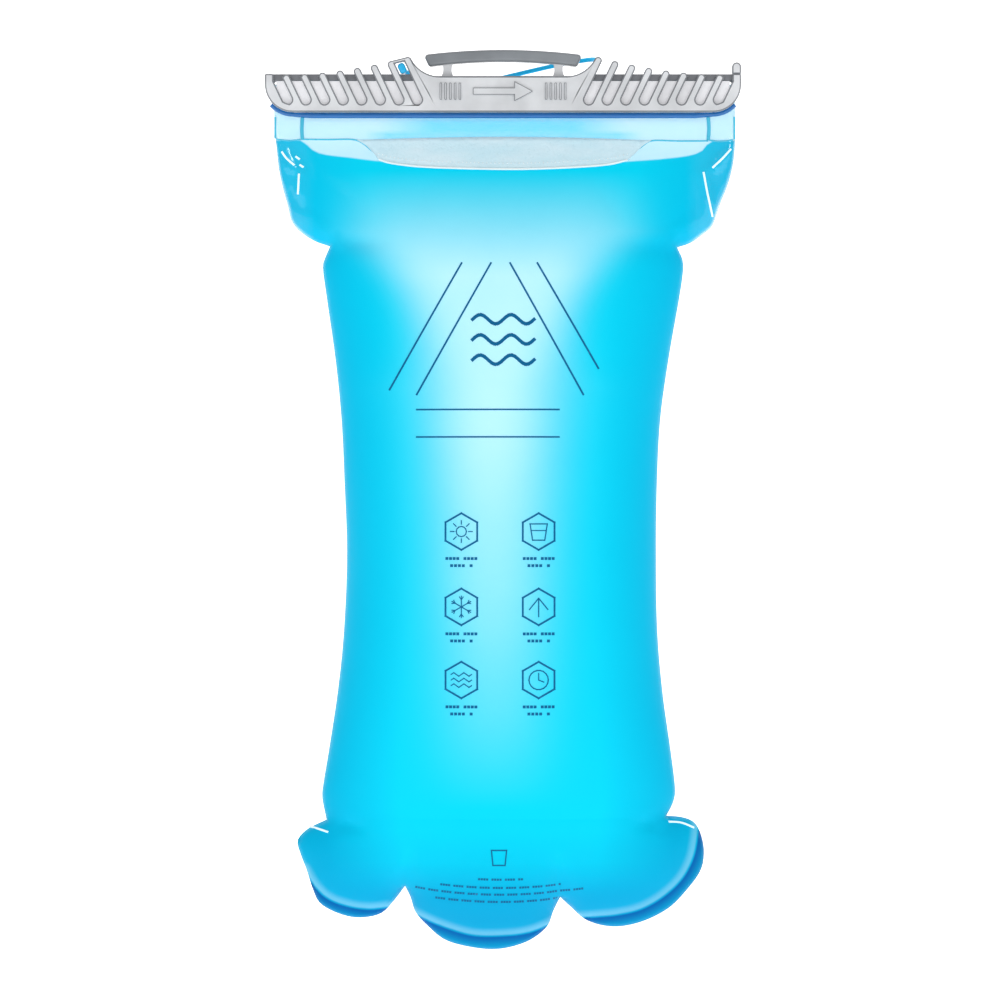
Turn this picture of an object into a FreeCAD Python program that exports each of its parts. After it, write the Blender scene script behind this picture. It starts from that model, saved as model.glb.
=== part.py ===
import FreeCAD, Part
import math
import os

from FreeCAD import Matrix, Vector

# A slide-top hydration bladder, full of water, hanging from the bar of its clip.
# Millimetres. +Z is up, +Y points to the back and +X to the clip's end post.
# The origin is where a hook touches the underside of the hang bar, at its middle.

# --- Slide clip -------------------------------------------------------------
CLIP_LENGTH = 190.0
CLIP_DEPTH = 12.0
WALL = 2.2                    # front and back walls of the channel
BAR_GAP = 6.2                 # from the hang bar's underside to the plate's top edge
PLATE_HEIGHT = 14.2           # the plate's top edge to the clip's bottom edge
CORNER_RADIUS = 11.0          # bottom corners of both walls
FRAME_WIDTH = 3.4             # solid border round the outermost window
SILL_HEIGHT = 3.0             # solid strip under the windows
LIP_HEIGHT = 2.2
THROAT = 3.8                  # slot between the two lips, where the film leaves
SIDE_LIFT = 1.0               # how far the rail rises above the plate beside it
RAIL_HEIGHT = 2.4             # the channel's roof

# --- Windows and fins of the clip's walls -----------------------------------
PITCH = 7.4
WINDOW_WIDTH = 4.1
FIRST_WINDOW = 36.0           # from the middle to the innermost window, half way up it
LEAN = math.radians(25.5)     # the fins lean outwards at the top
INNER_TIP = 1.6               # height of the innermost fin's tip above the hook point
OUTER_TIP = -5.5              # the same for a fin at the end of the row
TIP_CURVE = 1.7               # how quickly the row of tips falls away
FILLET_RADIUS = 13.0          # sweep from the plate up to the innermost fin
POST_RISE = 4.6               # the end post above the rail
POST_WIDTH = 3.6
STOP_THICKNESS = 2.5

# --- Hang bar ---------------------------------------------------------------
BAR_LENGTH = 63.6
BAR_DEPTH = 6.4
BAR_THICKNESS = 4.7
BAR_END_DROP = 2.0            # the ends of its top are this much lower than the middle
BAR_BELLY = 2.0               # the same for its underside, so it is thicker at its ends
BAR_ROUND = 1.3
POST_SPACING = 44.4
POST_FOOT = 5.2
POST_WAIST = 3.4
POST_DEPTH = 4.0

# --- Tether -----------------------------------------------------------------
TETHER_DIAMETER = 1.8
BEAD_WIDTH = 2.9
BEAD_DEPTH = 5.2
BEAD_ROUND = 1.2
TETHER_GAP = 0.6              # between the cord and the back wall that it lies along
BEAD_FOOT_GAP = 0.2           # between the rail and the bead in its eyelet
BEAD_HEAD_GAP = 0.092345      # between the bead and the bridge over it

# --- Bag --------------------------------------------------------------------
FILM = 0.5
WELD_WIDTH = 1.6              # the welded flange outside the bag's outline
WELD_THICKNESS = 0.8
WATER_GAP = 0.5
WATER_LEVEL = -39.0
BODY_SHIFT = -1.0             # the bag hangs this much off the clip's middle
MOUTH_INSET = 3.5             # from each end of the clip to the folded mouth's edge
MOUTH_THICKNESS = 3.0         # the folded film between the lips
STRIP_THICKNESS = 2.0         # each stiff strip beside the fold
STRIP_INSET = 1.0             # the strips are this much shorter than the mouth
RUNNING_GAP = 0.3             # between what slides and what stands still
BEAD_RADIUS = 1.6             # blue bead under the clip's front lip
BAG_TOP = -24.0               # where the flat mouth ends and the bag starts to fill out
BAG_DROP = 306.0              # from there to the last station, above the lobes' ends
BAG_HALF_WIDTH = 91.8
BAG_HALF_THICKNESS = 38.0
# Shares of the drop, the half width and the half thickness, from the mouth downwards.
BAG_STATIONS = [
    (0.000, 1.000, 0.039),
    (0.026, 0.998, 0.121),
    (0.056, 0.991, 0.232),
    (0.082, 0.972, 0.337),
    (0.111, 0.943, 0.447),
    (0.137, 0.904, 0.537),
    (0.154, 0.828, 0.587),
    (0.170, 0.778, 0.637),
    (0.209, 0.778, 0.732),
    (0.268, 0.747, 0.832),
    (0.346, 0.706, 0.921),
    (0.461, 0.680, 0.989),
    (0.565, 0.673, 1.000),
    (0.667, 0.684, 0.979),
    (0.752, 0.710, 0.926),
    (0.797, 0.734, 0.879),
    (0.869, 0.767, 0.779),
    (0.902, 0.758, 0.716),
    (0.954, 0.675, 0.579),
    (1.000, 0.523, 0.263),
]
# The three lobes along the bottom: x as a share of the half width, z of the drop,
# then half sizes in x, y and z as shares of the half width.
BAG_LOBES = [
    (-0.660, 0.971, 0.240, 0.223, 0.229),
    (-0.087, 0.987, 0.321, 0.251, 0.305),
    (0.595, 0.967, 0.279, 0.234, 0.283),
]
PATCH_TOP, PATCH_BOTTOM = -31.5, -41.0
PATCH_TOP_HALF, PATCH_BOTTOM_HALF = 57.0, 44.0
PATCH_THICKNESS = 0.4

# --- Outlet port on the back ------------------------------------------------
PORT_STATION = 15             # the bag station that the port sits on
FLANGE_RADIUS = 16.0
FLANGE_RISE = 2.8             # the flange's outer face above the film
BODY_RADIUS = 8.0
COLLAR_RADIUS = 9.6
SOCKET_RADIUS = 5.05
SOCKET_LENGTH = 11.0
SEAT_RADIUS = 3.0
SEAT_LENGTH = 2.0
CHAMBER_RADIUS = 5.6
CHAMBER_LENGTH = 9.0
POPPET_RADIUS = 4.6
POPPET_THICKNESS = 1.6
STEM_RADIUS = 1.2
STEM_GAP = 0.15
STEM_RECESS = 0.3             # the stem's end below the socket's floor
SEAT_GAP = 0.03               # the seal rests this close to its seat
POPPET_TRAVEL = 2.4
SEAL_WIRE = 0.6
CAGE_THICKNESS = 1.4
SPRING_WIRE = 0.3
SPRING_TURNS = 3
SPRING_RADIUS = 2.9
HOUSING_RADIUS = 14.0
HOUSING_DEPTH = 4.4
COVER_THICKNESS = 1.8
LATCH_THICKNESS = 1.8
LATCH_WIDTH = 15.0
LATCH_BITE = 0.7              # the latch's catch stands this far into the socket
LATCH_TRAVEL = 1.5
LATCH_GAP = 0.2
LATCH_RIM = 2.4
BUTTON_WIDTH = 13.0
BUTTON_RISE = 3.4             # the button above the housing
LATCH_SPRING_RADIUS = 0.65
LATCH_SPRING_WIRE = 0.18

# --- Places that follow from the sizes above --------------------------------
HALF_CLIP = CLIP_LENGTH / 2
HALF_DEPTH = CLIP_DEPTH / 2
PLATE_TOP = -BAR_GAP
CLIP_BOTTOM = PLATE_TOP - PLATE_HEIGHT
RAIL_TOP = PLATE_TOP + SIDE_LIFT
RAIL_BOTTOM = RAIL_TOP - RAIL_HEIGHT
SILL_TOP = CLIP_BOTTOM + SILL_HEIGHT
WINDOW_MIDDLE = (SILL_TOP + PLATE_TOP) / 2
FIN_WIDTH = PITCH - WINDOW_WIDTH
FIRST_FIN = FIRST_WINDOW - PITCH / 2
INNER_FACE = HALF_DEPTH - WALL
LAST_STRAIGHT = HALF_CLIP - CORNER_RADIUS
MOUTH_HALF = HALF_CLIP - MOUTH_INSET
MOUTH_TOP = RAIL_BOTTOM - RUNNING_GAP
WINDOWS_A_SIDE = 1 + int((HALF_CLIP - FRAME_WIDTH - WINDOW_WIDTH / 2 - FIRST_WINDOW) / PITCH)
TETHER_BACK = HALF_DEPTH + TETHER_GAP + TETHER_DIAMETER / 2


def tip_height(middle):
    """The tips fall away from the innermost fin to the end of the row."""
    last = FIRST_FIN + (WINDOWS_A_SIDE - 1) * PITCH
    share = (last - middle) / (last - FIRST_FIN)
    return OUTER_TIP + (INNER_TIP - OUTER_TIP) * share ** TIP_CURVE


def bridge_end(number):
    """Where the eyelet's bridge meets one of the innermost left fins, at its underside."""
    middle = FIRST_FIN + number * PITCH
    z = tip_height(middle) - FIN_WIDTH * math.cos(LEAN) / 2
    return -(middle + math.tan(LEAN) * (z - WINDOW_MIDDLE)), z


# The bead fills its eyelet, from the rail to the bridge.
EYELET_HEIGHT = (bridge_end(0)[1] + bridge_end(1)[1]) / 2 - RAIL_TOP
BEAD_HEIGHT = EYELET_HEIGHT - BEAD_FOOT_GAP - BEAD_HEAD_GAP
TETHER_START = RAIL_TOP + BEAD_FOOT_GAP + BEAD_HEIGHT / 2
EYELET_X = -(FIRST_WINDOW + math.tan(LEAN) * (TETHER_START - WINDOW_MIDDLE))
# From the bead in the left eyelet, behind the back wall, up behind the bar to the right fin.
TETHER_ROUTE = [
    (EYELET_X, -INNER_FACE + BEAD_DEPTH / 2, TETHER_START),
    (EYELET_X, INNER_FACE, TETHER_START),
    (EYELET_X + 3.5, TETHER_BACK + 0.6, -4.4),
    (-30.5, TETHER_BACK + 0.8, -7.4),
    (-21.5, TETHER_BACK + 0.3, -9.4),
    (-11.5, TETHER_BACK + 0.3, -8.4),
    (-1.0, TETHER_BACK + 0.2, -5.9),
    (11.5, TETHER_BACK, -2.9),
    (23.5, TETHER_BACK - 0.2, -0.2),
    (33.0, TETHER_BACK - 2.3, 1.2),
    (37.2, 1.0, 1.2),
    (38.0, -INNER_FACE, 0.2),
]


def box(x0, x1, y0, y1, z0, z1):
    return Part.makeBox(x1 - x0, y1 - y0, z1 - z0, Vector(x0, y0, z0))


def extrude_y(edges, y0, y1):
    """A solid from edges drawn in the XZ plane, between two depths."""
    face = Part.Face(Part.Wire(Part.__sortEdges__(edges)))
    face.translate(Vector(0, y0, 0))
    return face.extrude(Vector(0, y1 - y0, 0))


def line(a, b):
    return Part.LineSegment(Vector(a[0], 0, a[1]), Vector(b[0], 0, b[1])).toShape()


def arc(a, middle, b):
    return Part.Arc(*[Vector(p[0], 0, p[1]) for p in (a, middle, b)]).toShape()


def polygon_y(points, y0, y1):
    return extrude_y([line(a, b) for a, b in zip(points, points[1:] + points[:1])], y0, y1)


def disc_y(x, z, radius, y0, y1):
    return Part.makeCylinder(radius, y1 - y0, Vector(x, y0, z), Vector(0, 1, 0))


def rounded_plate(half, bottom, top, radius, y0, y1):
    """A plate with square top corners and round bottom ones."""
    diagonal = radius * (1 - math.sqrt(0.5))
    low = bottom + diagonal
    right = [(half, top), (half, bottom + radius), (half - diagonal, low), (half - radius, bottom)]
    left = [(-x, z) for x, z in right]
    return extrude_y([
        line(right[0], right[1]),
        arc(right[1], right[2], right[3]),
        line(right[3], left[3]),
        arc(left[3], left[2], left[1]),
        line(left[1], left[0]),
        line(left[0], right[0]),
    ], y0, y1)


def leaning_bar(side, middle, width, round_end, square_end, y0, y1):
    """A bar that leans outwards, between the heights of its round end and its square one.

    The middle is its distance from the clip's centre, half way up a window.
    """
    radius = width * math.cos(LEAN) / 2
    way = math.copysign(1, square_end - round_end)
    z = round_end + way * radius
    x = side * (middle + math.tan(LEAN) * (z - WINDOW_MIDDLE))
    along_x, along_z = side * math.sin(LEAN), math.cos(LEAN)
    near = [(x + s * radius * along_z, z - s * radius * along_x) for s in (-1, 1)]
    far = [(px + along_x * (square_end - pz) / along_z, square_end) for px, pz in near]
    return extrude_y([
        arc(near[0], (x - way * radius * along_x, z - way * radius * along_z), near[1]),
        line(near[1], far[1]),
        line(far[1], far[0]),
        line(far[0], near[0]),
    ], y0, y1)


def window_cuts(y0, y1):
    """The slanted windows of one wall, kept inside its frame."""
    over = INNER_TIP + PITCH
    inside = rounded_plate(HALF_CLIP - FRAME_WIDTH, SILL_TOP, over, CORNER_RADIUS - SILL_HEIGHT, y0, y1)
    cuts = []
    for side in (-1, 1):
        for i in range(WINDOWS_A_SIDE):
            middle = FIRST_WINDOW + i * PITCH
            cuts.append(leaning_bar(side, middle, WINDOW_WIDTH, SILL_TOP, over, y0, y1).common(inside))
    return cuts


def sweep_to_fin(side, y0, y1):
    """The concave web between the plate's top edge and the innermost fin."""
    foot = FIRST_FIN - FIN_WIDTH / 2 + math.tan(LEAN) * (PLATE_TOP - WINDOW_MIDDLE)
    half_corner = (math.pi / 2 + LEAN) / 2
    tangent = FILLET_RADIUS / math.tan(half_corner)
    centre = (foot - tangent, PLATE_TOP + FILLET_RADIUS)
    turn = math.pi - 2 * half_corner
    near = (foot - tangent, PLATE_TOP)
    far = (foot + tangent * math.sin(LEAN), PLATE_TOP + tangent * math.cos(LEAN))
    middle = (centre[0] + FILLET_RADIUS * math.sin(turn / 2), centre[1] - FILLET_RADIUS * math.cos(turn / 2))
    points = [(side * x, z) for x, z in (near, middle, far, (foot, PLATE_TOP))]
    return extrude_y([arc(*points[:3]), line(points[2], points[3]), line(points[3], points[0])], y0, y1)


def eyelet_bridge(y0, y1):
    """Joins the tips of the two innermost left fins, so that they hold the tether's bead."""
    half = FIN_WIDTH * math.cos(LEAN) / 4
    (x0, z0), (x1, z1) = bridge_end(0), bridge_end(1)
    return polygon_y([(x0, z0), (x0, z0 + 2 * half), (x1, z1 + 2 * half), (x1, z1)], y0, y1)


def channel_wall(y0, y1):
    """One wall of the channel with its windows, without fins, frames' tops or lip."""
    wall = rounded_plate(HALF_CLIP, CLIP_BOTTOM, PLATE_TOP, CORNER_RADIUS, y0, y1)
    wall = wall.cut(window_cuts(y0 - 1, y1 + 1))
    frames = [box(s * HALF_CLIP - (s > 0) * FRAME_WIDTH, s * HALF_CLIP + (s < 0) * FRAME_WIDTH,
                  y0, y1, PLATE_TOP - 1, RAIL_TOP) for s in (-1, 1)]
    return wall, frames


def clip_front_comb():
    y0, y1 = -HALF_DEPTH, -INNER_FACE
    wall, frames = channel_wall(y0, y1)
    extra = [eyelet_bridge(y0, y1)]
    for side in (-1, 1):
        extra.append(sweep_to_fin(side, y0, y1))
        for i in range(WINDOWS_A_SIDE):
            middle = FIRST_FIN + i * PITCH
            extra.append(leaning_bar(side, middle, FIN_WIDTH, tip_height(middle), SILL_TOP - 1, y0, y1))
    comb = wall.fuse(frames + extra)
    lip = box(-LAST_STRAIGHT, LAST_STRAIGHT, y1, -THROAT / 2, CLIP_BOTTOM, CLIP_BOTTOM + LIP_HEIGHT)
    return comb.fuse(lip).removeSplitter()


def clip_back_wall():
    y0, y1 = INNER_FACE, HALF_DEPTH
    wall, frames = channel_wall(y0, y1)
    crest = box(-HALF_CLIP, HALF_CLIP, y0, y1, RAIL_BOTTOM, RAIL_TOP)
    wall = wall.fuse(frames + [crest])
    lip = box(-LAST_STRAIGHT, LAST_STRAIGHT, THROAT / 2, y0, CLIP_BOTTOM, CLIP_BOTTOM + LIP_HEIGHT)
    return wall.fuse(lip).removeSplitter()


def clip_top_rail():
    """The channel's roof, lower along the plate and higher beside it."""
    plate_half = FIRST_FIN
    end = HALF_CLIP - STOP_THICKNESS
    middle = box(-plate_half, plate_half, -INNER_FACE, INNER_FACE, RAIL_BOTTOM, PLATE_TOP)
    sides = [box(-HALF_CLIP, -plate_half, -INNER_FACE, INNER_FACE, RAIL_BOTTOM, RAIL_TOP),
             box(plate_half, end, -INNER_FACE, INNER_FACE, RAIL_BOTTOM, RAIL_TOP)]
    return middle.fuse(sides).removeSplitter()


def clip_end_stop():
    """Closes the channel at its right end and carries the post that a thumb pulls on."""
    inner = HALF_CLIP - STOP_THICKNESS
    wall = rounded_plate(HALF_CLIP, CLIP_BOTTOM, RAIL_TOP, CORNER_RADIUS, -INNER_FACE, INNER_FACE)
    wall = wall.common(box(inner, HALF_CLIP, -INNER_FACE, INNER_FACE, CLIP_BOTTOM, RAIL_TOP))
    top = RAIL_TOP + POST_RISE
    radius = POST_WIDTH / 2
    post_x = HALF_CLIP - radius
    post = box(HALF_CLIP - POST_WIDTH, HALF_CLIP, -HALF_DEPTH, -INNER_FACE + WALL, RAIL_TOP, top - radius)
    post = post.fuse(disc_y(post_x, top - radius, radius, -HALF_DEPTH, -INNER_FACE + WALL))
    return wall.fuse(post).removeSplitter()


def hang_bar():
    half = BAR_LENGTH / 2
    slope = half - BAR_THICKNESS * math.tan(LEAN)
    top = BAR_THICKNESS
    bar = extrude_y([
        arc((-half, top - BAR_END_DROP), (0, top), (half, top - BAR_END_DROP)),
        line((half, top - BAR_END_DROP), (slope, -BAR_BELLY)),
        arc((slope, -BAR_BELLY), (0, 0), (-slope, -BAR_BELLY)),
        line((-slope, -BAR_BELLY), (-half, top - BAR_END_DROP)),
    ], -BAR_DEPTH / 2, BAR_DEPTH / 2)
    return bar.makeFillet(BAR_ROUND, bar.Edges)


def hang_posts(bar):
    """Two waisted posts between the channel's roof and the bar."""
    solids = []
    foot, waist, top = POST_FOOT / 2, POST_WAIST / 2, 0.0
    middle = (PLATE_TOP - BAR_BELLY / 2) / 2
    for side in (-1, 1):
        x = side * POST_SPACING / 2
        post = extrude_y([
            line((x - foot, PLATE_TOP), (x + foot, PLATE_TOP)),
            arc((x + foot, PLATE_TOP), (x + waist, middle), (x + foot, top)),
            line((x + foot, top), (x - foot, top)),
            arc((x - foot, top), (x - waist, middle), (x - foot, PLATE_TOP)),
        ], -POST_DEPTH / 2, POST_DEPTH / 2)
        solids.append(max(post.cut(bar).Solids, key=lambda s: -s.BoundBox.ZMin))
    return Part.makeCompound(solids)


def tether_bead():
    """A rounded block that fills the eyelet between the two innermost left fins."""
    width, depth, height = BEAD_WIDTH / 2, BEAD_DEPTH / 2, BEAD_HEIGHT / 2
    bead = box(-width, width, -depth, depth, -height, height)
    bead = bead.makeFillet(BEAD_ROUND, bead.Edges)
    bead.rotate(Vector(0, 0, 0), Vector(0, 1, 0), -math.degrees(LEAN))
    bead.translate(Vector(EYELET_X, -INNER_FACE, TETHER_START))
    return bead


def tether_cord():
    """Straight runs joined by tangent arcs, each as large as its two runs allow."""
    points = [Vector(*p) for p in TETHER_ROUTE]
    edges, start, radii, length = [], points[0], [], 0.0
    for before, corner, after in zip(points, points[1:], points[2:]):
        back, ahead = (before - corner), (after - corner)
        shorter = min(back.Length, ahead.Length)
        back.normalize()
        ahead.normalize()
        turn = math.pi - back.getAngle(ahead)
        reach = 0.45 * shorter
        radius = reach / math.tan(turn / 2)
        radii.append(round(radius, 1))
        enter, leave = corner + back * reach, corner + ahead * reach
        centre = corner + (back + ahead).normalize() * (radius / math.cos(turn / 2))
        middle = centre + (corner - centre).normalize() * radius
        edges += [Part.LineSegment(start, enter).toShape(), Part.Arc(enter, middle, leave).toShape()]
        start = leave
    edges.append(Part.LineSegment(start, points[-1]).toShape())
    path = Part.Wire(edges)
    section = Part.Wire(Part.Circle(points[0], points[1] - points[0], TETHER_DIAMETER / 2).toShape())
    cord = path.makePipeShell([section], True, True)
    expected = math.pi * (TETHER_DIAMETER / 2) ** 2 * path.Length
    print("tether length", round(path.Length, 1), "radii", radii, "volume", round(cord.Volume / expected, 4))
    return cord


def station(number, inset):
    """Height, half width and half thickness of one station of the bag, drawn in by an inset."""
    drop, width, thickness = BAG_STATIONS[number]
    return BAG_TOP - drop * BAG_DROP, width * BAG_HALF_WIDTH - inset, thickness * BAG_HALF_THICKNESS - inset


def bag_shape(inset):
    """The filled bag's outline, drawn in by an inset; a negative one grows it."""
    wires = []
    for number in range(len(BAG_STATIONS)):
        z, half_width, half_thickness = station(number, inset)
        centre = Vector(BODY_SHIFT, 0, z)
        wires.append(Part.Wire(Part.Ellipse(centre, half_width, half_thickness).toShape()))
    wires[-1].translate(Vector(0, 0, inset))
    shape = Part.makeLoft(wires, True, True)
    for x, drop, *half_sizes in BAG_LOBES:
        scale = Matrix()
        scale.scale(*[half * BAG_HALF_WIDTH - inset for half in half_sizes])
        lobe = Part.makeSphere(1.0).transformGeometry(scale)
        lobe.translate(Vector(x * BAG_HALF_WIDTH + BODY_SHIFT, 0, BAG_TOP - drop * BAG_DROP))
        shape = shape.fuse(lobe)
    return shape.removeSplitter()


def biggest(shape):
    return max(shape.Solids, key=lambda s: s.Volume)


def bag_pieces():
    """Front and back film, their weld, the water inside and the patch outside."""
    outer, inner, grown = bag_shape(0.0), bag_shape(FILM), bag_shape(-WELD_WIDTH)
    half = WELD_THICKNESS / 2
    far = 2 * HALF_CLIP
    top, bottom = BAG_TOP, BAG_TOP - BAG_DROP - far
    slab = box(-far, far, -half, half, bottom, top - WELD_WIDTH)
    in_front = box(-far, far, -far, -half, bottom, top)
    behind = box(-far, far, half, far, bottom, top)
    shell = outer.cut(inner)
    front, back = biggest(shell.common(in_front)), biggest(shell.common(behind))
    weld = biggest(grown.common(slab).cut(inner))
    water = bag_shape(FILM + WATER_GAP).common(box(-far, far, -far, far, bottom, WATER_LEVEL))
    patch = bag_shape(-PATCH_THICKNESS).cut(outer).common(polygon_y([
        (-PATCH_TOP_HALF, PATCH_TOP), (PATCH_TOP_HALF, PATCH_TOP),
        (PATCH_BOTTOM_HALF, PATCH_BOTTOM), (-PATCH_BOTTOM_HALF, PATCH_BOTTOM)], -far, -half))
    return outer, front, back, weld, biggest(water), biggest(patch)


def mouth_film():
    """The folded film that the clip grips, from inside the channel down to the bag."""
    return box(-MOUTH_HALF, MOUTH_HALF, -MOUTH_THICKNESS / 2, MOUTH_THICKNESS / 2, BAG_TOP, MOUTH_TOP)


def stiff_strip(side):
    """One of the two strips that keep the fold from pulling out through the throat."""
    half = MOUTH_HALF - STRIP_INSET
    near, far = MOUTH_THICKNESS / 2, MOUTH_THICKNESS / 2 + STRIP_THICKNESS
    bottom = CLIP_BOTTOM + LIP_HEIGHT + RUNNING_GAP
    return box(-half, half, min(side * near, side * far), max(side * near, side * far), bottom, MOUTH_TOP)


def mouth_bead():
    """The blue bead along the mouth's front, just under the clip."""
    y = -MOUTH_THICKNESS / 2 - BEAD_RADIUS
    z = CLIP_BOTTOM - RUNNING_GAP - BEAD_RADIUS
    return Part.makeCylinder(BEAD_RADIUS, 2 * LAST_STRAIGHT, Vector(-LAST_STRAIGHT, y, z), Vector(1, 0, 0))


def along_port(radius, inside, outside):
    """A cylinder on the port's axis; depths are measured outwards from the film's outer face."""
    return Part.makeCylinder(radius, outside - inside, PORT + Vector(0, inside, 0), Vector(0, 1, 0))


def ring_on_port(radius, wire, depth):
    return Part.makeTorus(radius, wire, PORT + Vector(0, depth, 0), Vector(0, 1, 0))


def coil_spring(radius, wire, turns, height, base, axis):
    """A helical spring with its first and last wire centres on the two planes."""
    helix = Part.makeHelix(height / turns, height, radius)
    slope = height / turns / (2 * math.pi * radius)
    section = Part.Wire(Part.Circle(Vector(radius, 0, 0), Vector(0, 1, slope), wire).toShape())
    spring = Part.Wire(helix.Edges).makePipeShell([section], True, True)
    spring.Placement = FreeCAD.Placement(base, FreeCAD.Rotation(Vector(0, 0, 1), axis))
    return spring


PORT_HEIGHT, _, PORT_HALF_THICKNESS = station(PORT_STATION, 0.0)
PORT = Vector(BODY_SHIFT, PORT_HALF_THICKNESS, PORT_HEIGHT)
SOCKET_MOUTH = FLANGE_RISE + HOUSING_DEPTH + COVER_THICKNESS + RUNNING_GAP
SOCKET_FLOOR = SOCKET_MOUTH - SOCKET_LENGTH
SEAT_FACE = SOCKET_FLOOR - SEAT_LENGTH
CHAMBER_END = SEAT_FACE - CHAMBER_LENGTH
LATCH_FACE = FLANGE_RISE + HOUSING_DEPTH - LATCH_THICKNESS - LATCH_GAP
LATCH_TOP = SOCKET_RADIUS + LATCH_TRAVEL + LATCH_GAP + LATCH_RIM
LATCH_BOTTOM = -(SOCKET_RADIUS - LATCH_BITE + LATCH_RIM)
SLOT_FLOOR = LATCH_BOTTOM - LATCH_TRAVEL - LATCH_GAP
SPRING_FLOOR = SLOT_FLOOR - LATCH_TRAVEL - LATCH_GAP
HEAD_FRONT = SEAT_FACE - SEAT_GAP - 2 * SEAL_WIRE
HEAD_BACK = HEAD_FRONT - POPPET_THICKNESS


def port_flange(outer):
    """The welded pad, which follows the film's curve."""
    pad = along_port(FLANGE_RADIUS, -PORT_HALF_THICKNESS / 3, FLANGE_RISE)
    return biggest(pad.cut(outer).cut(along_port(BODY_RADIUS, -PORT_HALF_THICKNESS, FLANGE_RISE + 1)))


def port_body():
    """Socket, valve seat and valve chamber in one turned body, with the collar that seats on the flange."""
    barrel = along_port(BODY_RADIUS, CHAMBER_END, FLANGE_RISE)
    collar = along_port(COLLAR_RADIUS, FLANGE_RISE, LATCH_FACE - LATCH_GAP)
    body = barrel.fuse(collar)
    body = body.cut(along_port(SOCKET_RADIUS, SOCKET_FLOOR, SOCKET_MOUTH))
    body = body.cut(along_port(SEAT_RADIUS, SEAT_FACE - 1, SOCKET_FLOOR + 1))
    return body.cut(along_port(CHAMBER_RADIUS, CHAMBER_END - 1, SEAT_FACE)).removeSplitter()


def latch_housing():
    """The round housing on the flange, with the slot that the latch slides in."""
    front = FLANGE_RISE + HOUSING_DEPTH
    housing = along_port(HOUSING_RADIUS, FLANGE_RISE, front)
    housing = housing.cut(along_port(COLLAR_RADIUS + LATCH_GAP, FLANGE_RISE - 1, front + 1))
    half = LATCH_WIDTH / 2 + LATCH_GAP
    well = LATCH_SPRING_RADIUS + LATCH_SPRING_WIRE + LATCH_GAP
    pocket = box(-half, half, LATCH_FACE - LATCH_GAP, front + 1, SLOT_FLOOR, HOUSING_RADIUS + 1)
    spring_well = box(-well, well, LATCH_FACE - LATCH_GAP, front + 1, SPRING_FLOOR, SLOT_FLOOR + 1)
    for hollow in (pocket, spring_well):
        hollow.translate(PORT)
        housing = housing.cut(hollow)
    return biggest(housing)


def latch_button():
    """A sliding plate with a long hole; its lower rim catches the hose plug, and its top is the button."""
    half = LATCH_WIDTH / 2
    y0, y1 = LATCH_FACE, LATCH_FACE + LATCH_THICKNESS
    plate = box(-half, half, y0, y1, LATCH_BOTTOM, LATCH_TOP)
    top = HOUSING_RADIUS + BUTTON_RISE
    plate = plate.fuse(box(-BUTTON_WIDTH / 2, BUTTON_WIDTH / 2, y0, y1, LATCH_TOP, top))
    radius = SOCKET_RADIUS + LATCH_GAP
    low = radius - SOCKET_RADIUS + LATCH_BITE
    high = LATCH_TRAVEL
    hole = disc_y(0, low, radius, y0 - 1, y1 + 1).fuse(disc_y(0, high, radius, y0 - 1, y1 + 1))
    hole = hole.fuse(box(-radius, radius, y0 - 1, y1 + 1, low, high))
    plate = plate.cut(hole).removeSplitter()
    plate.translate(PORT)
    return plate


def port_cover():
    """The plate over the latch, with the socket's mouth."""
    back = FLANGE_RISE + HOUSING_DEPTH
    cover = along_port(HOUSING_RADIUS, back, back + COVER_THICKNESS)
    rim = [e for e in cover.Edges if abs(e.BoundBox.YMax - PORT.y - back - COVER_THICKNESS) < 1e-6]
    cover = cover.makeFillet(COVER_THICKNESS / 2, rim[:1])
    return cover.cut(along_port(SOCKET_RADIUS, back - 1, back + COVER_THICKNESS + 1))


def valve_poppet():
    """Head and stem; the head closes the seat from inside the bag."""
    head = along_port(POPPET_RADIUS, HEAD_BACK, HEAD_FRONT)
    stem = along_port(STEM_RADIUS, CHAMBER_END - CAGE_THICKNESS, SOCKET_FLOOR - STEM_RECESS)
    return head.fuse(stem).removeSplitter()


def poppet_seal():
    return ring_on_port((SEAT_RADIUS + POPPET_RADIUS) / 2, SEAL_WIRE, HEAD_FRONT + SEAL_WIRE)


def valve_cage():
    """The snap-in cap that guides the stem and lets the water past."""
    cap = along_port(BODY_RADIUS, CHAMBER_END - CAGE_THICKNESS, CHAMBER_END)
    cap = cap.cut(along_port(STEM_RADIUS + STEM_GAP, CHAMBER_END - 2 * CAGE_THICKNESS, CHAMBER_END + 1))
    path = (STEM_RADIUS + CHAMBER_RADIUS) / 2 + STEM_GAP
    hole_radius = (CHAMBER_RADIUS - STEM_RADIUS) / 2 - 2 * STEM_GAP
    for i in range(4):
        angle = math.pi / 4 + i * math.pi / 2
        hole = along_port(hole_radius, CHAMBER_END - 2 * CAGE_THICKNESS, CHAMBER_END + 1)
        hole.translate(Vector(path * math.cos(angle), 0, path * math.sin(angle)))
        cap = cap.cut(hole)
    return cap


def valve_spring():
    start = CHAMBER_END + SPRING_WIRE
    height = HEAD_BACK - SPRING_WIRE - start
    base = PORT + Vector(0, start, 0)
    return coil_spring(SPRING_RADIUS, SPRING_WIRE, SPRING_TURNS, height, base, Vector(0, 1, 0))


def latch_spring():
    floor = SPRING_FLOOR + LATCH_SPRING_WIRE
    height = LATCH_BOTTOM - LATCH_SPRING_WIRE - floor
    base = PORT + Vector(0, LATCH_FACE + LATCH_THICKNESS / 2, floor)
    return coil_spring(LATCH_SPRING_RADIUS, LATCH_SPRING_WIRE, SPRING_TURNS, height, base, Vector(0, 0, 1))


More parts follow.
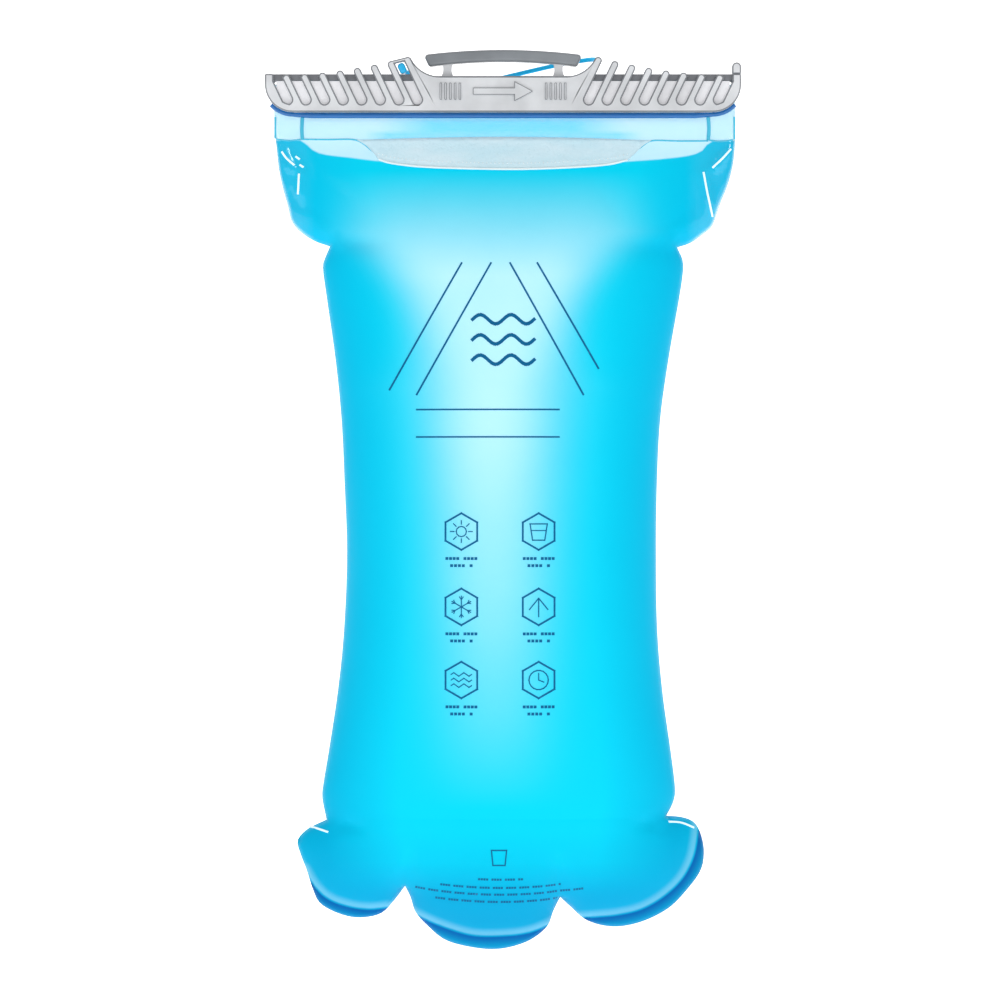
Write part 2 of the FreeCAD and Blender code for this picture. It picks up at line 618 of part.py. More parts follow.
def main():
    os.makedirs("parts", exist_ok=True)
    outer, front, back, weld, water, patch = bag_pieces()
    valve_end = CHAMBER_END - CAGE_THICKNESS - RUNNING_GAP - POPPET_TRAVEL
    valve_space = along_port(BODY_RADIUS + RUNNING_GAP, valve_end, 1)
    film_hole = along_port(BODY_RADIUS, CHAMBER_END, FLANGE_RISE + 1)
    bar = hang_bar()
    nodes = {
        "clip_front_comb": clip_front_comb(),
        "clip_back_wall": clip_back_wall(),
        "clip_top_rail": clip_top_rail(),
        "clip_end_stop": clip_end_stop(),
        "hang_bar": bar,
        "hang_posts": hang_posts(bar),
        "tether_bead": tether_bead(),
        "tether_cord": tether_cord(),
        "mouth_film": mouth_film(),
        "front_strip": stiff_strip(-1),
        "back_strip": stiff_strip(1),
        "mouth_bead": mouth_bead(),
        "front_film": front,
        "back_film": back.cut(film_hole),
        "perimeter_weld": weld,
        "grip_patch": patch,
        "water_fill": water.cut(valve_space),
        "port_flange": port_flange(outer),
        "port_body": port_body(),
        "latch_housing": latch_housing(),
        "latch_button": latch_button(),
        "latch_spring": latch_spring(),
        "port_cover": port_cover(),
        "valve_poppet": valve_poppet(),
        "poppet_seal": poppet_seal(),
        "valve_spring": valve_spring(),
        "valve_cage": valve_cage(),
    }
    for name, shape in nodes.items():
        if not shape.isValid() or not shape.Solids:
            print("NOT VALID", name)
        print(name, "solids", len(shape.Solids), "volume", round(shape.Volume, 1))
        shape.exportStep(f"parts/{name}.step")


main()
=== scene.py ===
import math

import bmesh
import bpy
import numpy as np
from bpy.props import FloatProperty, FloatVectorProperty, IntProperty, PointerProperty
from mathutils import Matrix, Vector
from mathutils.bvhtree import BVHTree
from mathutils.geometry import delaunay_2d_cdt


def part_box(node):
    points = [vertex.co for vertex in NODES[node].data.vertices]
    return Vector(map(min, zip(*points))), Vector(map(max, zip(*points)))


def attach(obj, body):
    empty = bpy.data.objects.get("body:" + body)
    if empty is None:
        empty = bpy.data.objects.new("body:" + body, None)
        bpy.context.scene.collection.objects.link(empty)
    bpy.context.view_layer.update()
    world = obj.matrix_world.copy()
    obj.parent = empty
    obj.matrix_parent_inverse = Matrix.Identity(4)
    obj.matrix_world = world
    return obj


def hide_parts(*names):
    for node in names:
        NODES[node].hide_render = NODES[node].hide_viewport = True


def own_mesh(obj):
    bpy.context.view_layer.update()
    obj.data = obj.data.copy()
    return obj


bl_info = {
    "name": "Hydration Bladder",
    "version": (1, 0, 0),
    "blender": (4, 5, 0),
    "location": "View3D > Sidebar > Bladder",
    "description": "Dresses a slide-top water reservoir: film, water, print, clip, tether and port",
    "category": "Object",
}

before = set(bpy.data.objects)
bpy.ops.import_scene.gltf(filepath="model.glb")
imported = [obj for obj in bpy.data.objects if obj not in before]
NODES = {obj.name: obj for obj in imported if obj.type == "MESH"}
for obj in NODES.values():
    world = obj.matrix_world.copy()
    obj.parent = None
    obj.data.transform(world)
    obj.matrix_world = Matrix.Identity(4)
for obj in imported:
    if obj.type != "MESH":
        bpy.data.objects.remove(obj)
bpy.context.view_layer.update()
MM = 0.001

# --- The bag's outline, in millimetres seen from the front ------------------
# Each run goes from one sharp corner to the next, clockwise from the mouth's right end.
RIGHT_EAR = [(92.6, -9), (93, -18), (93, -26), (92.6, -36), (91.6, -43), (89.6, -50), (86.8, -57),
             (85.2, -62), (83.4, -66), (79.4, -69.4), (75, -72.4), (69.7, -74.2)]
RIGHT_SIDE = [(69.7, -74.2), (71.8, -79), (72, -84), (70.4, -95), (66.2, -119), (62.9, -143),
              (61.6, -168), (61.2, -197), (61.7, -227), (63.8, -252), (67, -275), (68.8, -290),
              (68.1, -296), (65.4, -301.4)]
RIGHT_LOBE = [(65.4, -301.4), (71.6, -302), (76.4, -304), (79.2, -309), (80.4, -316), (79, -323.4),
              (73.6, -331), (66, -338.6), (55, -344), (44, -345.8), (33.8, -343.4), (27, -337.8),
              (22.9, -334)]
MIDDLE_LOBE = [(22.9, -334), (20.2, -339.4), (17.6, -345.8), (10.8, -351.2), (2, -354.2),
               (-6.4, -354.8), (-16.8, -353.2), (-24, -350.6), (-30, -345.6), (-35, -340), (-37, -334),
               (-39.2, -329.6)]
LEFT_LOBE = [(-39.2, -329.6), (-43.6, -335.4), (-49, -340.6), (-57.6, -342.2), (-65.6, -340.6),
             (-73, -336.6), (-76, -331), (-78.6, -323), (-80.9, -317), (-82.2, -311.4), (-78.8, -307.2),
             (-75, -305), (-70.6, -303)]
LEFT_SIDE = [(-70.6, -303), (-72.3, -294), (-71.6, -287), (-69.6, -275), (-66, -251), (-63.6, -227),
             (-62.4, -197), (-63.4, -168), (-64.6, -143), (-67, -119), (-70.4, -95), (-72, -83),
             (-71.4, -79), (-69.2, -73.8)]
LEFT_EAR = [(-69.2, -73.8), (-75.4, -71.6), (-81.2, -67.8), (-84.6, -63.6), (-86, -58), (-88.2, -50),
            (-89.8, -42), (-90.6, -34), (-91.4, -27), (-91.6, -18), (-91.5, -9)]
MOUTH = [(-91.5, -9), (92.6, -9)]
OUTLINE = [RIGHT_EAR, RIGHT_SIDE, RIGHT_LOBE, MIDDLE_LOBE, LEFT_LOBE, LEFT_SIDE, LEFT_EAR, MOUTH]

# The front panel ends in a seam above the lower edge of each lobe.
LOBE_SEAMS = [
    [(-79.5, -323), (-75.6, -329.4), (-70, -334.6), (-62, -337.6), (-54, -338.8), (-46, -338.2)],
    [(-36, -340.6), (-26, -345), (-13, -349), (-1, -349.4), (10, -348.2), (19, -345)],
    [(30, -342.4), (38, -341.8), (47, -340.8), (56, -338.4), (65, -333), (72, -326), (76.2, -317.6),
     (78, -308.4), (78.4, -304)],
]
# From where to where each of these lobes reaches; they overlap a little at the notches.
LOBE_SPANS = [(-100, -39), (-40, 23.4), (22.4, 100)]
WATERLINE = [(-96, -31.4), (-82.6, -31.4), (-79.4, -32.4), (-73.8, -36.6), (-60.8, -38.6),
             (-45.4, -40.4), (-19.2, -42), (8.4, -42.7), (33.2, -41.6), (46.8, -40.4), (62.4, -39.2),
             (74.6, -37.6), (80, -35.4), (83.6, -31.8), (96, -31.4)]
# Height against half thickness at the bag's middle.
FULLNESS = [(-24, 0), (-32, 3.2), (-41, 7.2), (-49, 11.2), (-58, 15.4), (-68, 20), (-76, 23.2),
            (-88, 26.8), (-106, 30.6), (-130, 34), (-165, 36.6), (-197, 37), (-228, 36.2), (-254, 34.2),
            (-268, 32.4), (-290, 28.8), (-304, 26), (-316, 23.4), (-328, 20), (-340, 14), (-352, 5)]
# Folds of the film: start, end, half width and height; a minus height is a groove.
FOLDS = [
    ((-88, -40), (-80, -45), 1.6, 1.5),
    ((-86, -36), (-81, -43), 1.3, 1.0),
    ((-82, -44), (-80.5, -58), 1.8, 1.3),
    ((-84, -52), (-76, -66), 2.4, -1.2),
    ((-80, -60), (-66, -72), 2.2, 1.3),
    ((-70, -72), (-50, -74), 3.4, -1.0),
    ((92, -34), (84, -43), 1.7, 1.6),
    ((88, -41), (82, -44), 1.3, 1.1),
    ((80, -44), (84.5, -64), 1.9, 1.4),
    ((79, -50), (76, -68), 2.6, -1.2),
    ((76, -64), (60, -74), 2.6, 1.3),
    ((70, -73), (52, -76), 3.4, -1.0),
    ((-39, -330), (-37, -316), 2.6, -2.0),
    ((23, -334), (22, -318), 2.8, -2.2),
    ((-70, -303), (-56, -305), 2.6, -1.8),
    ((65, -302), (54, -304), 2.6, -1.8),
    ((-30, -46), (-34, -62), 5.0, -0.6),
    ((38, -46), (44, -64), 5.0, -0.6),
]
# Between these heights the film is smooth, so its triangles are larger.
BODY_TOP, BODY_BOTTOM = -80, -292
PORT_MIDDLE = (-1.0, -267.9)
PORT_HOLE = 8.05
MOUTH_BOTTOM = -24.0
MOUTH_HALF_THICKNESS = 1.2

# The tether's control points, in millimetres.
TETHER = [(-40.3, -1.2, -2.9), (-40.3, 3.8, -2.9), (-36.8, 8.1, -4.4), (-30.5, 8.3, -7.4),
          (-21.5, 7.8, -9.4), (-11.5, 7.8, -8.4), (-1.0, 7.7, -5.9), (11.5, 7.5, -2.9),
          (23.5, 7.3, -0.2), (33.0, 5.2, 1.2), (37.2, 1.0, 1.2), (38.0, -3.8, 0.2)]


def srgb(red, green, blue):
    """A linear colour from display values of 0 to 255."""
    return tuple(((c / 255 + 0.055) / 1.055) ** 2.4 if c > 10 else c / 255 / 12.92
                 for c in (red, green, blue))


# --- Settings ---------------------------------------------------------------
def length(name, description, millimetres):
    return FloatProperty(name=name, description=description, default=millimetres * MM, min=0.0, unit="LENGTH",
                         precision=5)


def colour(name, description, red, green, blue):
    return FloatVectorProperty(name=name, description=description, default=srgb(red, green, blue), size=3,
                               min=0.0, max=1.0, subtype="COLOR")


class BladderFilmSettings(bpy.types.PropertyGroup):
    edge_spacing: length("Edge spacing", "Distance between points along the outline", 1.8)
    fine_spacing: length("Fine spacing", "Distance between points in the lobes and ears", 1.9)
    body_spacing: length("Body spacing", "Distance between points in the body", 3.4)
    rim: length("Rim", "Width of the flat weld round the edge", 1.1)
    # Painted shade: the film is darker towards its edges and the bottoms of the lobes, where it turns away
    # from the light.
    shaded_edge_blue: colour("Deep blue", "Film near the edges, where it turns away", 0, 169, 210)
    middle: colour("Middle blue", "Film over most of the water", 0, 201, 230)
    pale: colour("Pale blue", "Film where light comes through the water", 190, 236, 246)
    # Painted shade: below each lobe seam the film is darker, darkest in the crease just under it.
    shade_under_seam: colour("Under blue", "Film below the seams of the lobes", 2, 136, 184)
    crease: colour("Crease blue", "Film in the shade just below those seams", 0, 92, 162)
    clear: colour("Clear film", "Dry film above the water", 176, 224, 238)
    tint: colour("Tinted film", "Dry film near the middle of the mouth", 60, 208, 240)
    glow: FloatProperty(name="Glow", description="Share of light that comes through the bag from behind",
                        default=0.24, min=0.0, max=2.0)


class BladderTrimSettings(bpy.types.PropertyGroup):
    # The tube under the clip follows the real fold of film there; its dark blue is painted shade.
    fold_shade_radius: length("Piping radius", "Half the thickness of the blue piping under the clip", 1.1)
    ridge_radius: length("Ridge radius", "Half the thickness of a weld ridge", 0.4)
    dot_spacing: length("Dot spacing", "Distance between the dots along the patch's lower edge", 1.6)
    dot_radius: length("Dot radius", "Size of those dots", 0.28)
    fold_shade: colour("Piping", "Blue piping under the clip", 0, 106, 182)
    ridge: colour("Weld ridge", "Blue weld ridges of the mouth", 70, 200, 232)
    ink: colour("Ink", "Print on the bag's front", 14, 104, 154)


class BladderClipSettings(bpy.types.PropertyGroup):
    edge_round: length("Edge round", "Softening of the clip's edges", 0.55)
    mark_rise: length("Mark rise", "Height of the raised slide marks", 0.7)
    rib_count: IntProperty(name="Grip ribs", description="Raised grip ribs on each side of the arrow",
                           default=5, min=1, max=12)
    plate: colour("Clip plastic", "Comb and back wall of the clip", 216, 218, 221)
    # The edge colour is painted shade: dark outlines along the clip's bevelled edges.
    edge: colour("Edge plastic", "Rubbed edges of the clip", 128, 131, 136)
    rail: colour("Rail plastic", "Roof of the clip's channel", 118, 120, 125)
    bar: colour("Bar plastic", "Bar that the bag hangs from", 132, 137, 142)
    strip: colour("Strip plastic", "Stiff strips behind the clip's windows", 226, 226, 229)
    tether: colour("Tether", "Tether and its bead", 0, 182, 238)


class BladderPortSettings(bpy.types.PropertyGroup):
    edge_round: length("Edge round", "Softening of the port's edges", 0.25)
    latch_travel: length("Latch travel", "How far the button presses its spring together", 1.5)
    valve_travel: length("Valve travel", "How far the poppet presses its spring together", 2.4)
    body: colour("Port plastic", "Flange, housing and cover of the hose port", 92, 98, 105)
    button: colour("Latch button", "Button that lets the hose plug go", 0, 120, 190)


class BladderStageSettings(bpy.types.PropertyGroup):
    distance: length("Camera distance", "From the camera to the bag's middle plane", 2000.0)
    width: length("View width", "Width of the view at the bag's middle plane", 400.0)
    floor_drop: length("Floor drop", "Height of the hang bar above the floor", 470.0)
    lamps: FloatProperty(name="Lamps", description="Strength of the soft lamps", default=0.3, min=0.0)
    studio: FloatProperty(name="Studio", description="Light from the room all round", default=0.5, min=0.0)
    backdrop: colour("Backdrop", "Floor and backdrop", 252, 252, 253)


SETTINGS = {
    "bladder_film": BladderFilmSettings,
    "bladder_trim": BladderTrimSettings,
    "bladder_clip": BladderClipSettings,
    "bladder_port": BladderPortSettings,
    "bladder_stage": BladderStageSettings,
}


# --- Shaders ----------------------------------------------------------------
class Socket:
    """A shader value that takes part in Python sums."""

    def __init__(self, shader, socket):
        self.shader = shader
        self.socket = socket

    def _sum(self, operation, first, second):
        return self.shader.node("ShaderNodeMath", {"operation": operation}, {0: first, 1: second})

    def __add__(self, other):
        return self._sum("ADD", self, other)

    __radd__ = __add__

    def __sub__(self, other):
        return self._sum("SUBTRACT", self, other)

    def __rsub__(self, other):
        return self._sum("SUBTRACT", other, self)

    def __mul__(self, other):
        return self._sum("MULTIPLY", self, other)

    __rmul__ = __mul__

    def limited(self):
        return self.shader.node("ShaderNodeClamp", {}, {"Value": self})

    def ramp(self, low, high):
        """0 below low, 1 above high, smooth between them."""
        return self.shader.node("ShaderNodeMapRange", {"interpolation_type": "SMOOTHSTEP"},
                                {"Value": self, "From Min": low, "From Max": high})


class Shader:
    """Builds one material around a Principled shader."""

    def __init__(self, name):
        self.material = bpy.data.materials.new(name)
        self.material.use_nodes = True
        self.tree = self.material.node_tree
        self.principled = self.tree.nodes["Principled BSDF"]

    def node(self, kind, settings, inputs, output=0):
        made = self.tree.nodes.new(kind)
        for key, value in settings.items():
            setattr(made, key, value)
        for key, value in inputs.items():
            if isinstance(value, Socket):
                self.tree.links.new(value.socket, made.inputs[key])
            else:
                made.inputs[key].default_value = value
        return Socket(self, made.outputs[output])

    def set(self, **values):
        for key, value in values.items():
            socket = self.principled.inputs[key.replace("_", " ")]
            if isinstance(value, Socket):
                self.tree.links.new(value.socket, socket)
            else:
                is_colour = isinstance(value, tuple) and len(value) == 3
                socket.default_value = (*value, 1.0) if is_colour else value
        return self.material

    def place(self):
        return self.node("ShaderNodeTexCoord", {}, {}, "Object")

    def noise(self, size, detail=3.0, stretch=(1, 1, 1)):
        """Noise whose features are about this size in metres."""
        where = self.node("ShaderNodeMapping", {}, {"Vector": self.place(), "Scale": stretch})
        return self.node("ShaderNodeTexNoise", {}, {"Vector": where, "Scale": 1 / size, "Detail": detail})

    def attribute(self, name):
        return self.node("ShaderNodeAttribute", {"attribute_name": name}, {}, "Fac")

    def mix(self, factor, first, second):
        values = {0: factor}
        for key, value in ((6, first), (7, second)):
            values[key] = value if isinstance(value, Socket) else (*value, 1.0)
        return self.node("ShaderNodeMix", {"data_type": "RGBA"}, values, 2)

    def bump(self, height, strength, distance):
        return self.node("ShaderNodeBump", {}, {"Height": height, "Strength": strength, "Distance": distance})


def film_material(look):
    """Wet film is blue over the water and pale where light comes through; dry film is clear."""
    s = Shader("film_blue")
    depth, pale, gloss = s.attribute("depth"), s.attribute("pale"), s.attribute("gloss")
    level, ply = s.attribute("level"), s.attribute("ply")
    dry = level.ramp(-0.5, 0.5)
    # Painted shade below the lobe seams: crease blue right under each seam, fading to the under colour
    # further down.
    shade_under_seam = (0 - ply).ramp(-0.3, 0.5)
    # Painted highlight: a pale rim along the film just above each lobe seam.
    rim = ply.ramp(0.2, 1.0) * (1 - ply.ramp(1.2, 4.2))
    cloud = s.noise(0.05) - 0.5
    # Painted shade: the depth mask darkens the film towards its edges and the bottoms of the lobes.
    wet = s.mix((depth + cloud * 0.12).limited(), tuple(look.shaded_edge_blue), tuple(look.middle))
    wet = s.mix((pale + pale * cloud * 0.35).limited(), wet, tuple(look.pale))
    # Painted shade: the lowest part of the lobes is darkened towards the under colour.
    wet = s.mix(s.attribute("low") * 0.65, wet, tuple(look.shade_under_seam))
    wet = s.mix(rim * 0.2, wet, tuple(look.pale))
    wet = s.mix(shade_under_seam, wet, s.mix((0 - ply).ramp(0.3, 4.5), tuple(look.crease), tuple(look.shade_under_seam)))
    bare = s.mix(s.attribute("tint"), tuple(look.clear), tuple(look.tint))
    shade = s.mix(dry, wet, bare)
    crinkle = s.noise(0.012, 4.0, (1, 1, 0.5))
    return s.set(
        Base_Color=shade,
        Emission_Color=shade,
        Emission_Strength=look.glow,
        Roughness=0.5 - 0.34 * gloss + 0.06 * s.noise(0.02),
        Alpha=0.95 - dry * 0.3,
        Normal=s.bump(crinkle, 0.1, 0.0006),
        Specular_IOR_Level=0.05,
        Coat_Weight=0.01 + 0.99 * gloss,
        Coat_Roughness=0.05,
    )


def water_material(look):
    s = Shader("water")
    murk = s.noise(0.08)
    shade = s.mix(murk, tuple(look.middle), tuple(c * 0.92 for c in look.middle))
    return s.set(
        Base_Color=shade,
        Emission_Color=shade,
        Emission_Strength=look.glow,
        Roughness=0.1 + 0.05 * s.noise(0.03),
        Specular_IOR_Level=0.2,
    )


def plastic(name, shade, roughness=0.4, grain=0.0004, strength=0.15, coat=0.0, glow=0.0):
    """Moulded plastic: fine grain, slight clouding and lighter worn patches."""
    s = Shader(name)
    cloud = s.noise(0.018, 3.0)
    fine = s.noise(grain, 2.0)
    darker = tuple(c * 0.86 for c in shade)
    lighter = tuple(min(1.0, c * 1.08) for c in shade)
    return s.set(
        Base_Color=s.mix(cloud.ramp(0.3, 0.7), darker, lighter),
        Roughness=roughness + 0.16 * (cloud - 0.5) + 0.06 * fine,
        Normal=s.bump(fine, strength, 0.0002),
        Coat_Weight=coat,
        Coat_Roughness=0.12,
        Emission_Color=shade,
        Emission_Strength=glow,
    )


def cord_material(name, shade):
    """Smooth elastic cord with faint braid marks."""
    s = Shader(name)
    braid = s.node("ShaderNodeTexWave", {"wave_type": "BANDS", "bands_direction": "DIAGONAL"},
                   {"Vector": s.place(), "Scale": 420.0, "Distortion": 1.0}, "Fac")
    # Painted light: the cord glows to look brighter.
    return s.set(
        Base_Color=s.mix(braid * 0.4, shade, tuple(c * 0.75 for c in shade)),
        Emission_Color=shade,
        Emission_Strength=0.3,
        Roughness=0.42 + 0.1 * braid,
        Normal=s.bump(braid, 0.3, 0.0001),
    )


def patch_material():
    """Clear pebbled film of the grip patch."""
    s = Shader("film_clear")
    pebble = s.noise(0.0016, 4.0)
    streak = s.noise(0.012, 3.0, (0.5, 1, 1.6))
    frosting = (streak.ramp(0.3, 0.75) * 0.6 + pebble * 0.3).limited()
    shade = s.mix(frosting, srgb(196, 228, 238), srgb(216, 234, 241))
    # Painted light: the patch glows a little to look brighter.
    return s.set(
        Base_Color=shade,
        Emission_Color=shade,
        Emission_Strength=0.14,
        Roughness=0.2 + 0.2 * pebble,
        Alpha=0.8 + 0.1 * streak,
        Normal=s.bump(pebble, 0.5, 0.0008),
        Coat_Weight=0.3,
        Coat_Roughness=0.1,
    )


def gloss_material(name, shade, roughness=0.18, glow=0.0):
    s = Shader(name)
    cloud = s.noise(0.01)
    return s.set(
        Base_Color=s.mix(cloud, tuple(c * 0.88 for c in shade), shade),
        Roughness=roughness + 0.1 * cloud,
        Normal=s.bump(s.noise(0.002), 0.08, 0.0002),
        Coat_Weight=0.4,
        Coat_Roughness=0.08,
        Emission_Color=shade,
        Emission_Strength=glow,
    )


def ink_material(look):
    s = Shader("print_ink")
    wear_and_edge_shade = s.noise(0.002, 4.0).ramp(0.1, 0.45)
    return s.set(
        Base_Color=s.mix(wear_and_edge_shade, tuple(c * 1.5 + 0.03 for c in look.ink), tuple(look.ink)),
        Roughness=0.35 + 0.2 * s.noise(0.004),
        Alpha=0.9,
        Specular_IOR_Level=0.1,
    )


def steel_material():
    s = Shader("spring_steel")
    drawn = s.noise(0.0006, 2.0)
    return s.set(
        Base_Color=s.mix(drawn, srgb(150, 152, 155), srgb(205, 207, 210)),
        Metallic=1.0,
        Roughness=0.25 + 0.15 * drawn,
    )


# --- Mesh making ------------------------------------------------------------
def collect(name, vertices, faces, material, smooth=True):
    mesh = bpy.data.meshes.new(name)
    mesh.from_pydata([tuple(v) for v in vertices], [], [tuple(f) for f in faces])
    mesh.materials.append(material)
    mesh.polygons.foreach_set("use_smooth", [smooth] * len(mesh.polygons))
    made = bpy.data.objects.new(name, mesh)
    bpy.context.collection.objects.link(made)
    return made


def face_outwards(made):
    shape = bmesh.new()
    shape.from_mesh(made.data)
    bmesh.ops.recalc_face_normals(shape, faces=shape.faces)
    shape.to_mesh(made.data)
    shape.free()


def add_value(mesh, name, values):
    attribute = mesh.attributes.new(name, "FLOAT", "POINT")
    attribute.data.foreach_set("value", np.asarray(values, dtype=np.float32))


def flowing(points, spacing):
    """Points spaced evenly along a smooth curve through the given ones."""
    p = np.array(points, dtype=float)
    padded = np.vstack([2 * p[0] - p[1], p, 2 * p[-1] - p[-2]])
    curve = []
    for a, b, c, d in zip(padded, padded[1:], padded[2:], padded[3:]):
        for t in np.linspace(0, 1, 12, endpoint=False):
            curve.append(0.5 * (2 * b + (c - a) * t + (2 * a - 5 * b + 4 * c - d) * t ** 2
                                + (3 * b - a - 3 * c + d) * t ** 3))
    curve = np.vstack([curve, p[-1]])
    steps = np.r_[0, np.cumsum(np.linalg.norm(np.diff(curve, axis=0), axis=1))]
    count = max(2, int(round(steps[-1] / spacing)) + 1)
    where = np.linspace(0, steps[-1], count)
    return np.column_stack([np.interp(where, steps, curve[:, i]) for i in range(p.shape[1])])


def inside(polygon, points):
    """Which points lie inside a closed polygon."""
    x, z = points[:, 0], points[:, 1]
    result = np.zeros(len(points), dtype=bool)
    for (ax, az), (bx, bz) in zip(polygon, np.roll(polygon, -1, axis=0)):
        if az != bz:
            crossing = (az > z) != (bz > z)
            result ^= crossing & (x < (bx - ax) * (z - az) / (bz - az) + ax)
    return result


def distance_to(polyline, points):
    """Distance from each point to a polyline."""
    best = np.full(len(points), 1e9)
    for a, b in zip(polyline[:-1], polyline[1:]):
        along = b - a
        t = np.clip((points - a) @ along / max(along @ along, 1e-12), 0, 1)
        best = np.minimum(best, np.linalg.norm(points - a - t[:, None] * along, axis=1))
    return best


class BagShape:
    """The filled bag: a flat cut of film, blown up by solving for a membrane's swell."""

    def __init__(self, film):
        mm = 1 / MM
        edge, fine, body = film.edge_spacing * mm, film.fine_spacing * mm, film.body_spacing * mm
        self.rim = film.rim * mm
        self.outline = np.vstack([flowing(run, edge)[:-1] for run in OUTLINE])
        self.closed = np.vstack([self.outline, self.outline[:1]])
        self.seams = [flowing(seam, edge) for seam in LOBE_SEAMS]
        self.waterline = flowing(WATERLINE, 3.0)
        self.mesh(fine, body)
        self.blow_up()

    def ring(self, middle, radius, count):
        angles = np.linspace(0, 2 * math.pi, count, endpoint=False)
        return np.column_stack([middle[0] + radius * np.cos(angles), middle[1] + radius * np.sin(angles)])

    def mesh(self, fine, body):
        """Triangles over the outline, finer where the film bends most."""
        low, high = self.outline.min(axis=0), self.outline.max(axis=0)
        parts = []
        for spacing, in_body in ((fine, False), (body, True)):
            xs = np.arange(low[0], high[0], spacing)
            zs = np.arange(low[1], high[1], spacing * 0.866)
            grid = np.array([(x + (i % 2) * spacing / 2, z) for i, z in enumerate(zs) for x in xs])
            between = (grid[:, 1] >= BODY_BOTTOM) & (grid[:, 1] <= BODY_TOP)
            parts.append(grid[between == in_body])
        grid = np.vstack(parts)
        grid = grid[inside(self.outline, grid)]
        away = distance_to(self.closed, grid)
        rings = []
        for offset in (self.rim, self.rim + 0.5, self.rim + 1.4, self.rim + 2.8, self.rim + 4.6):
            ahead, behind = np.roll(self.outline, -1, axis=0), np.roll(self.outline, 1, axis=0)
            run = ahead - behind
            normal = np.column_stack([run[:, 1], -run[:, 0]]) / np.linalg.norm(run, axis=1)[:, None]
            moved = self.outline + normal * offset
            if not inside(self.outline, moved[:1])[0]:
                moved = self.outline - normal * offset
            keep = inside(self.outline, moved)
            rings.append(moved[keep][distance_to(self.closed, moved[keep]) > offset * 0.93])
        keep = away > self.rim + 6.0
        for line in [*self.seams, self.waterline]:
            keep &= distance_to(line, grid) > fine * 0.5
        port = np.linalg.norm(grid - PORT_MIDDLE, axis=1)
        keep &= (port > PORT_HOLE + 1.5) | (port < PORT_HOLE - 1.5)
        loose = [grid[keep], *rings]
        loops = [self.ring(PORT_MIDDLE, PORT_HOLE, 40), self.ring(PORT_MIDDLE, PORT_HOLE + 0.5, 40)]
        points, edges = list(map(tuple, self.outline)), []
        edges += [(i, (i + 1) % len(points)) for i in range(len(points))]
        for line in [*self.seams, self.waterline]:
            first = len(points)
            points += list(map(tuple, line))
            edges += [(i, i + 1) for i in range(first, len(points) - 1)]
        for loop in loops:
            first = len(points)
            points += list(map(tuple, loop))
            edges += [(first + i, first + (i + 1) % len(loop)) for i in range(len(loop))]
        for cloud in loose:
            points += list(map(tuple, cloud))
        found = delaunay_2d_cdt([Vector(p) for p in points], edges, [], 0, 1e-5)
        self.flat = np.array([tuple(p) for p in found[0]])
        faces = np.array([tuple(f) for f in found[2]])
        middles = self.flat[faces].mean(axis=1)
        faces = faces[inside(self.outline, middles)]
        used = np.unique(faces)
        index = np.full(len(self.flat), -1)
        index[used] = np.arange(len(used))
        self.flat, self.faces = self.flat[used], index[faces]
        self.bounding = self.boundary(self.faces)
        self.on_edge = np.zeros(len(self.flat), dtype=bool)
        self.on_edge[np.unique(self.bounding)] = True
        self.edge_distance = distance_to(self.closed, self.flat)

    @staticmethod
    def boundary(faces):
        """Directed edges that only one triangle has."""
        edges = np.vstack([faces[:, [0, 1]], faces[:, [1, 2]], faces[:, [2, 0]]])
        keys = {tuple(e) for e in edges.tolist()}
        return np.array([e for e in keys if (e[1], e[0]) not in keys])

    def swell(self, fixed):
        """Height of a membrane under even pressure that is held flat at the fixed points."""
        p, f = self.flat, self.faces
        count = len(p)
        a, b, c = p[f[:, 0]], p[f[:, 1]], p[f[:, 2]]
        area = 0.5 * np.abs((b - a)[:, 0] * (c - a)[:, 1] - (b - a)[:, 1] * (c - a)[:, 0])
        rows, columns, weights = [], [], []
        for i, j, k in ((0, 1, 2), (1, 2, 0), (2, 0, 1)):
            u, v = p[f[:, i]] - p[f[:, k]], p[f[:, j]] - p[f[:, k]]
            cotangent = 0.5 * (u * v).sum(axis=1) / np.maximum(2 * area, 1e-9)
            rows += [f[:, i], f[:, j]]
            columns += [f[:, j], f[:, i]]
            weights += [cotangent, cotangent]
        rows, columns, weights = map(np.concatenate, (rows, columns, weights))
        diagonal = np.bincount(rows, weights, count)
        load = sum(np.bincount(f[:, i], area / 3, count) for i in range(3))
        free = ~fixed

        def apply(x):
            return (diagonal * x - np.bincount(rows, weights * x[columns], count)) * free

        x = np.zeros(count)
        left = load * free
        step = left / diagonal * free
        score = left @ step
        most_rounds, near_enough = 900, 1e-10
        for _ in range(most_rounds):
            pushed = apply(step)
            rate = score / max(step @ pushed, 1e-30)
            x += rate * step
            left = left - rate * pushed
            ready = left / diagonal * free
            fresh = left @ ready
            if fresh < near_enough:
                break
            step = ready + fresh / score * step
            score = fresh
        return np.sqrt(np.maximum(2 * x, 0))

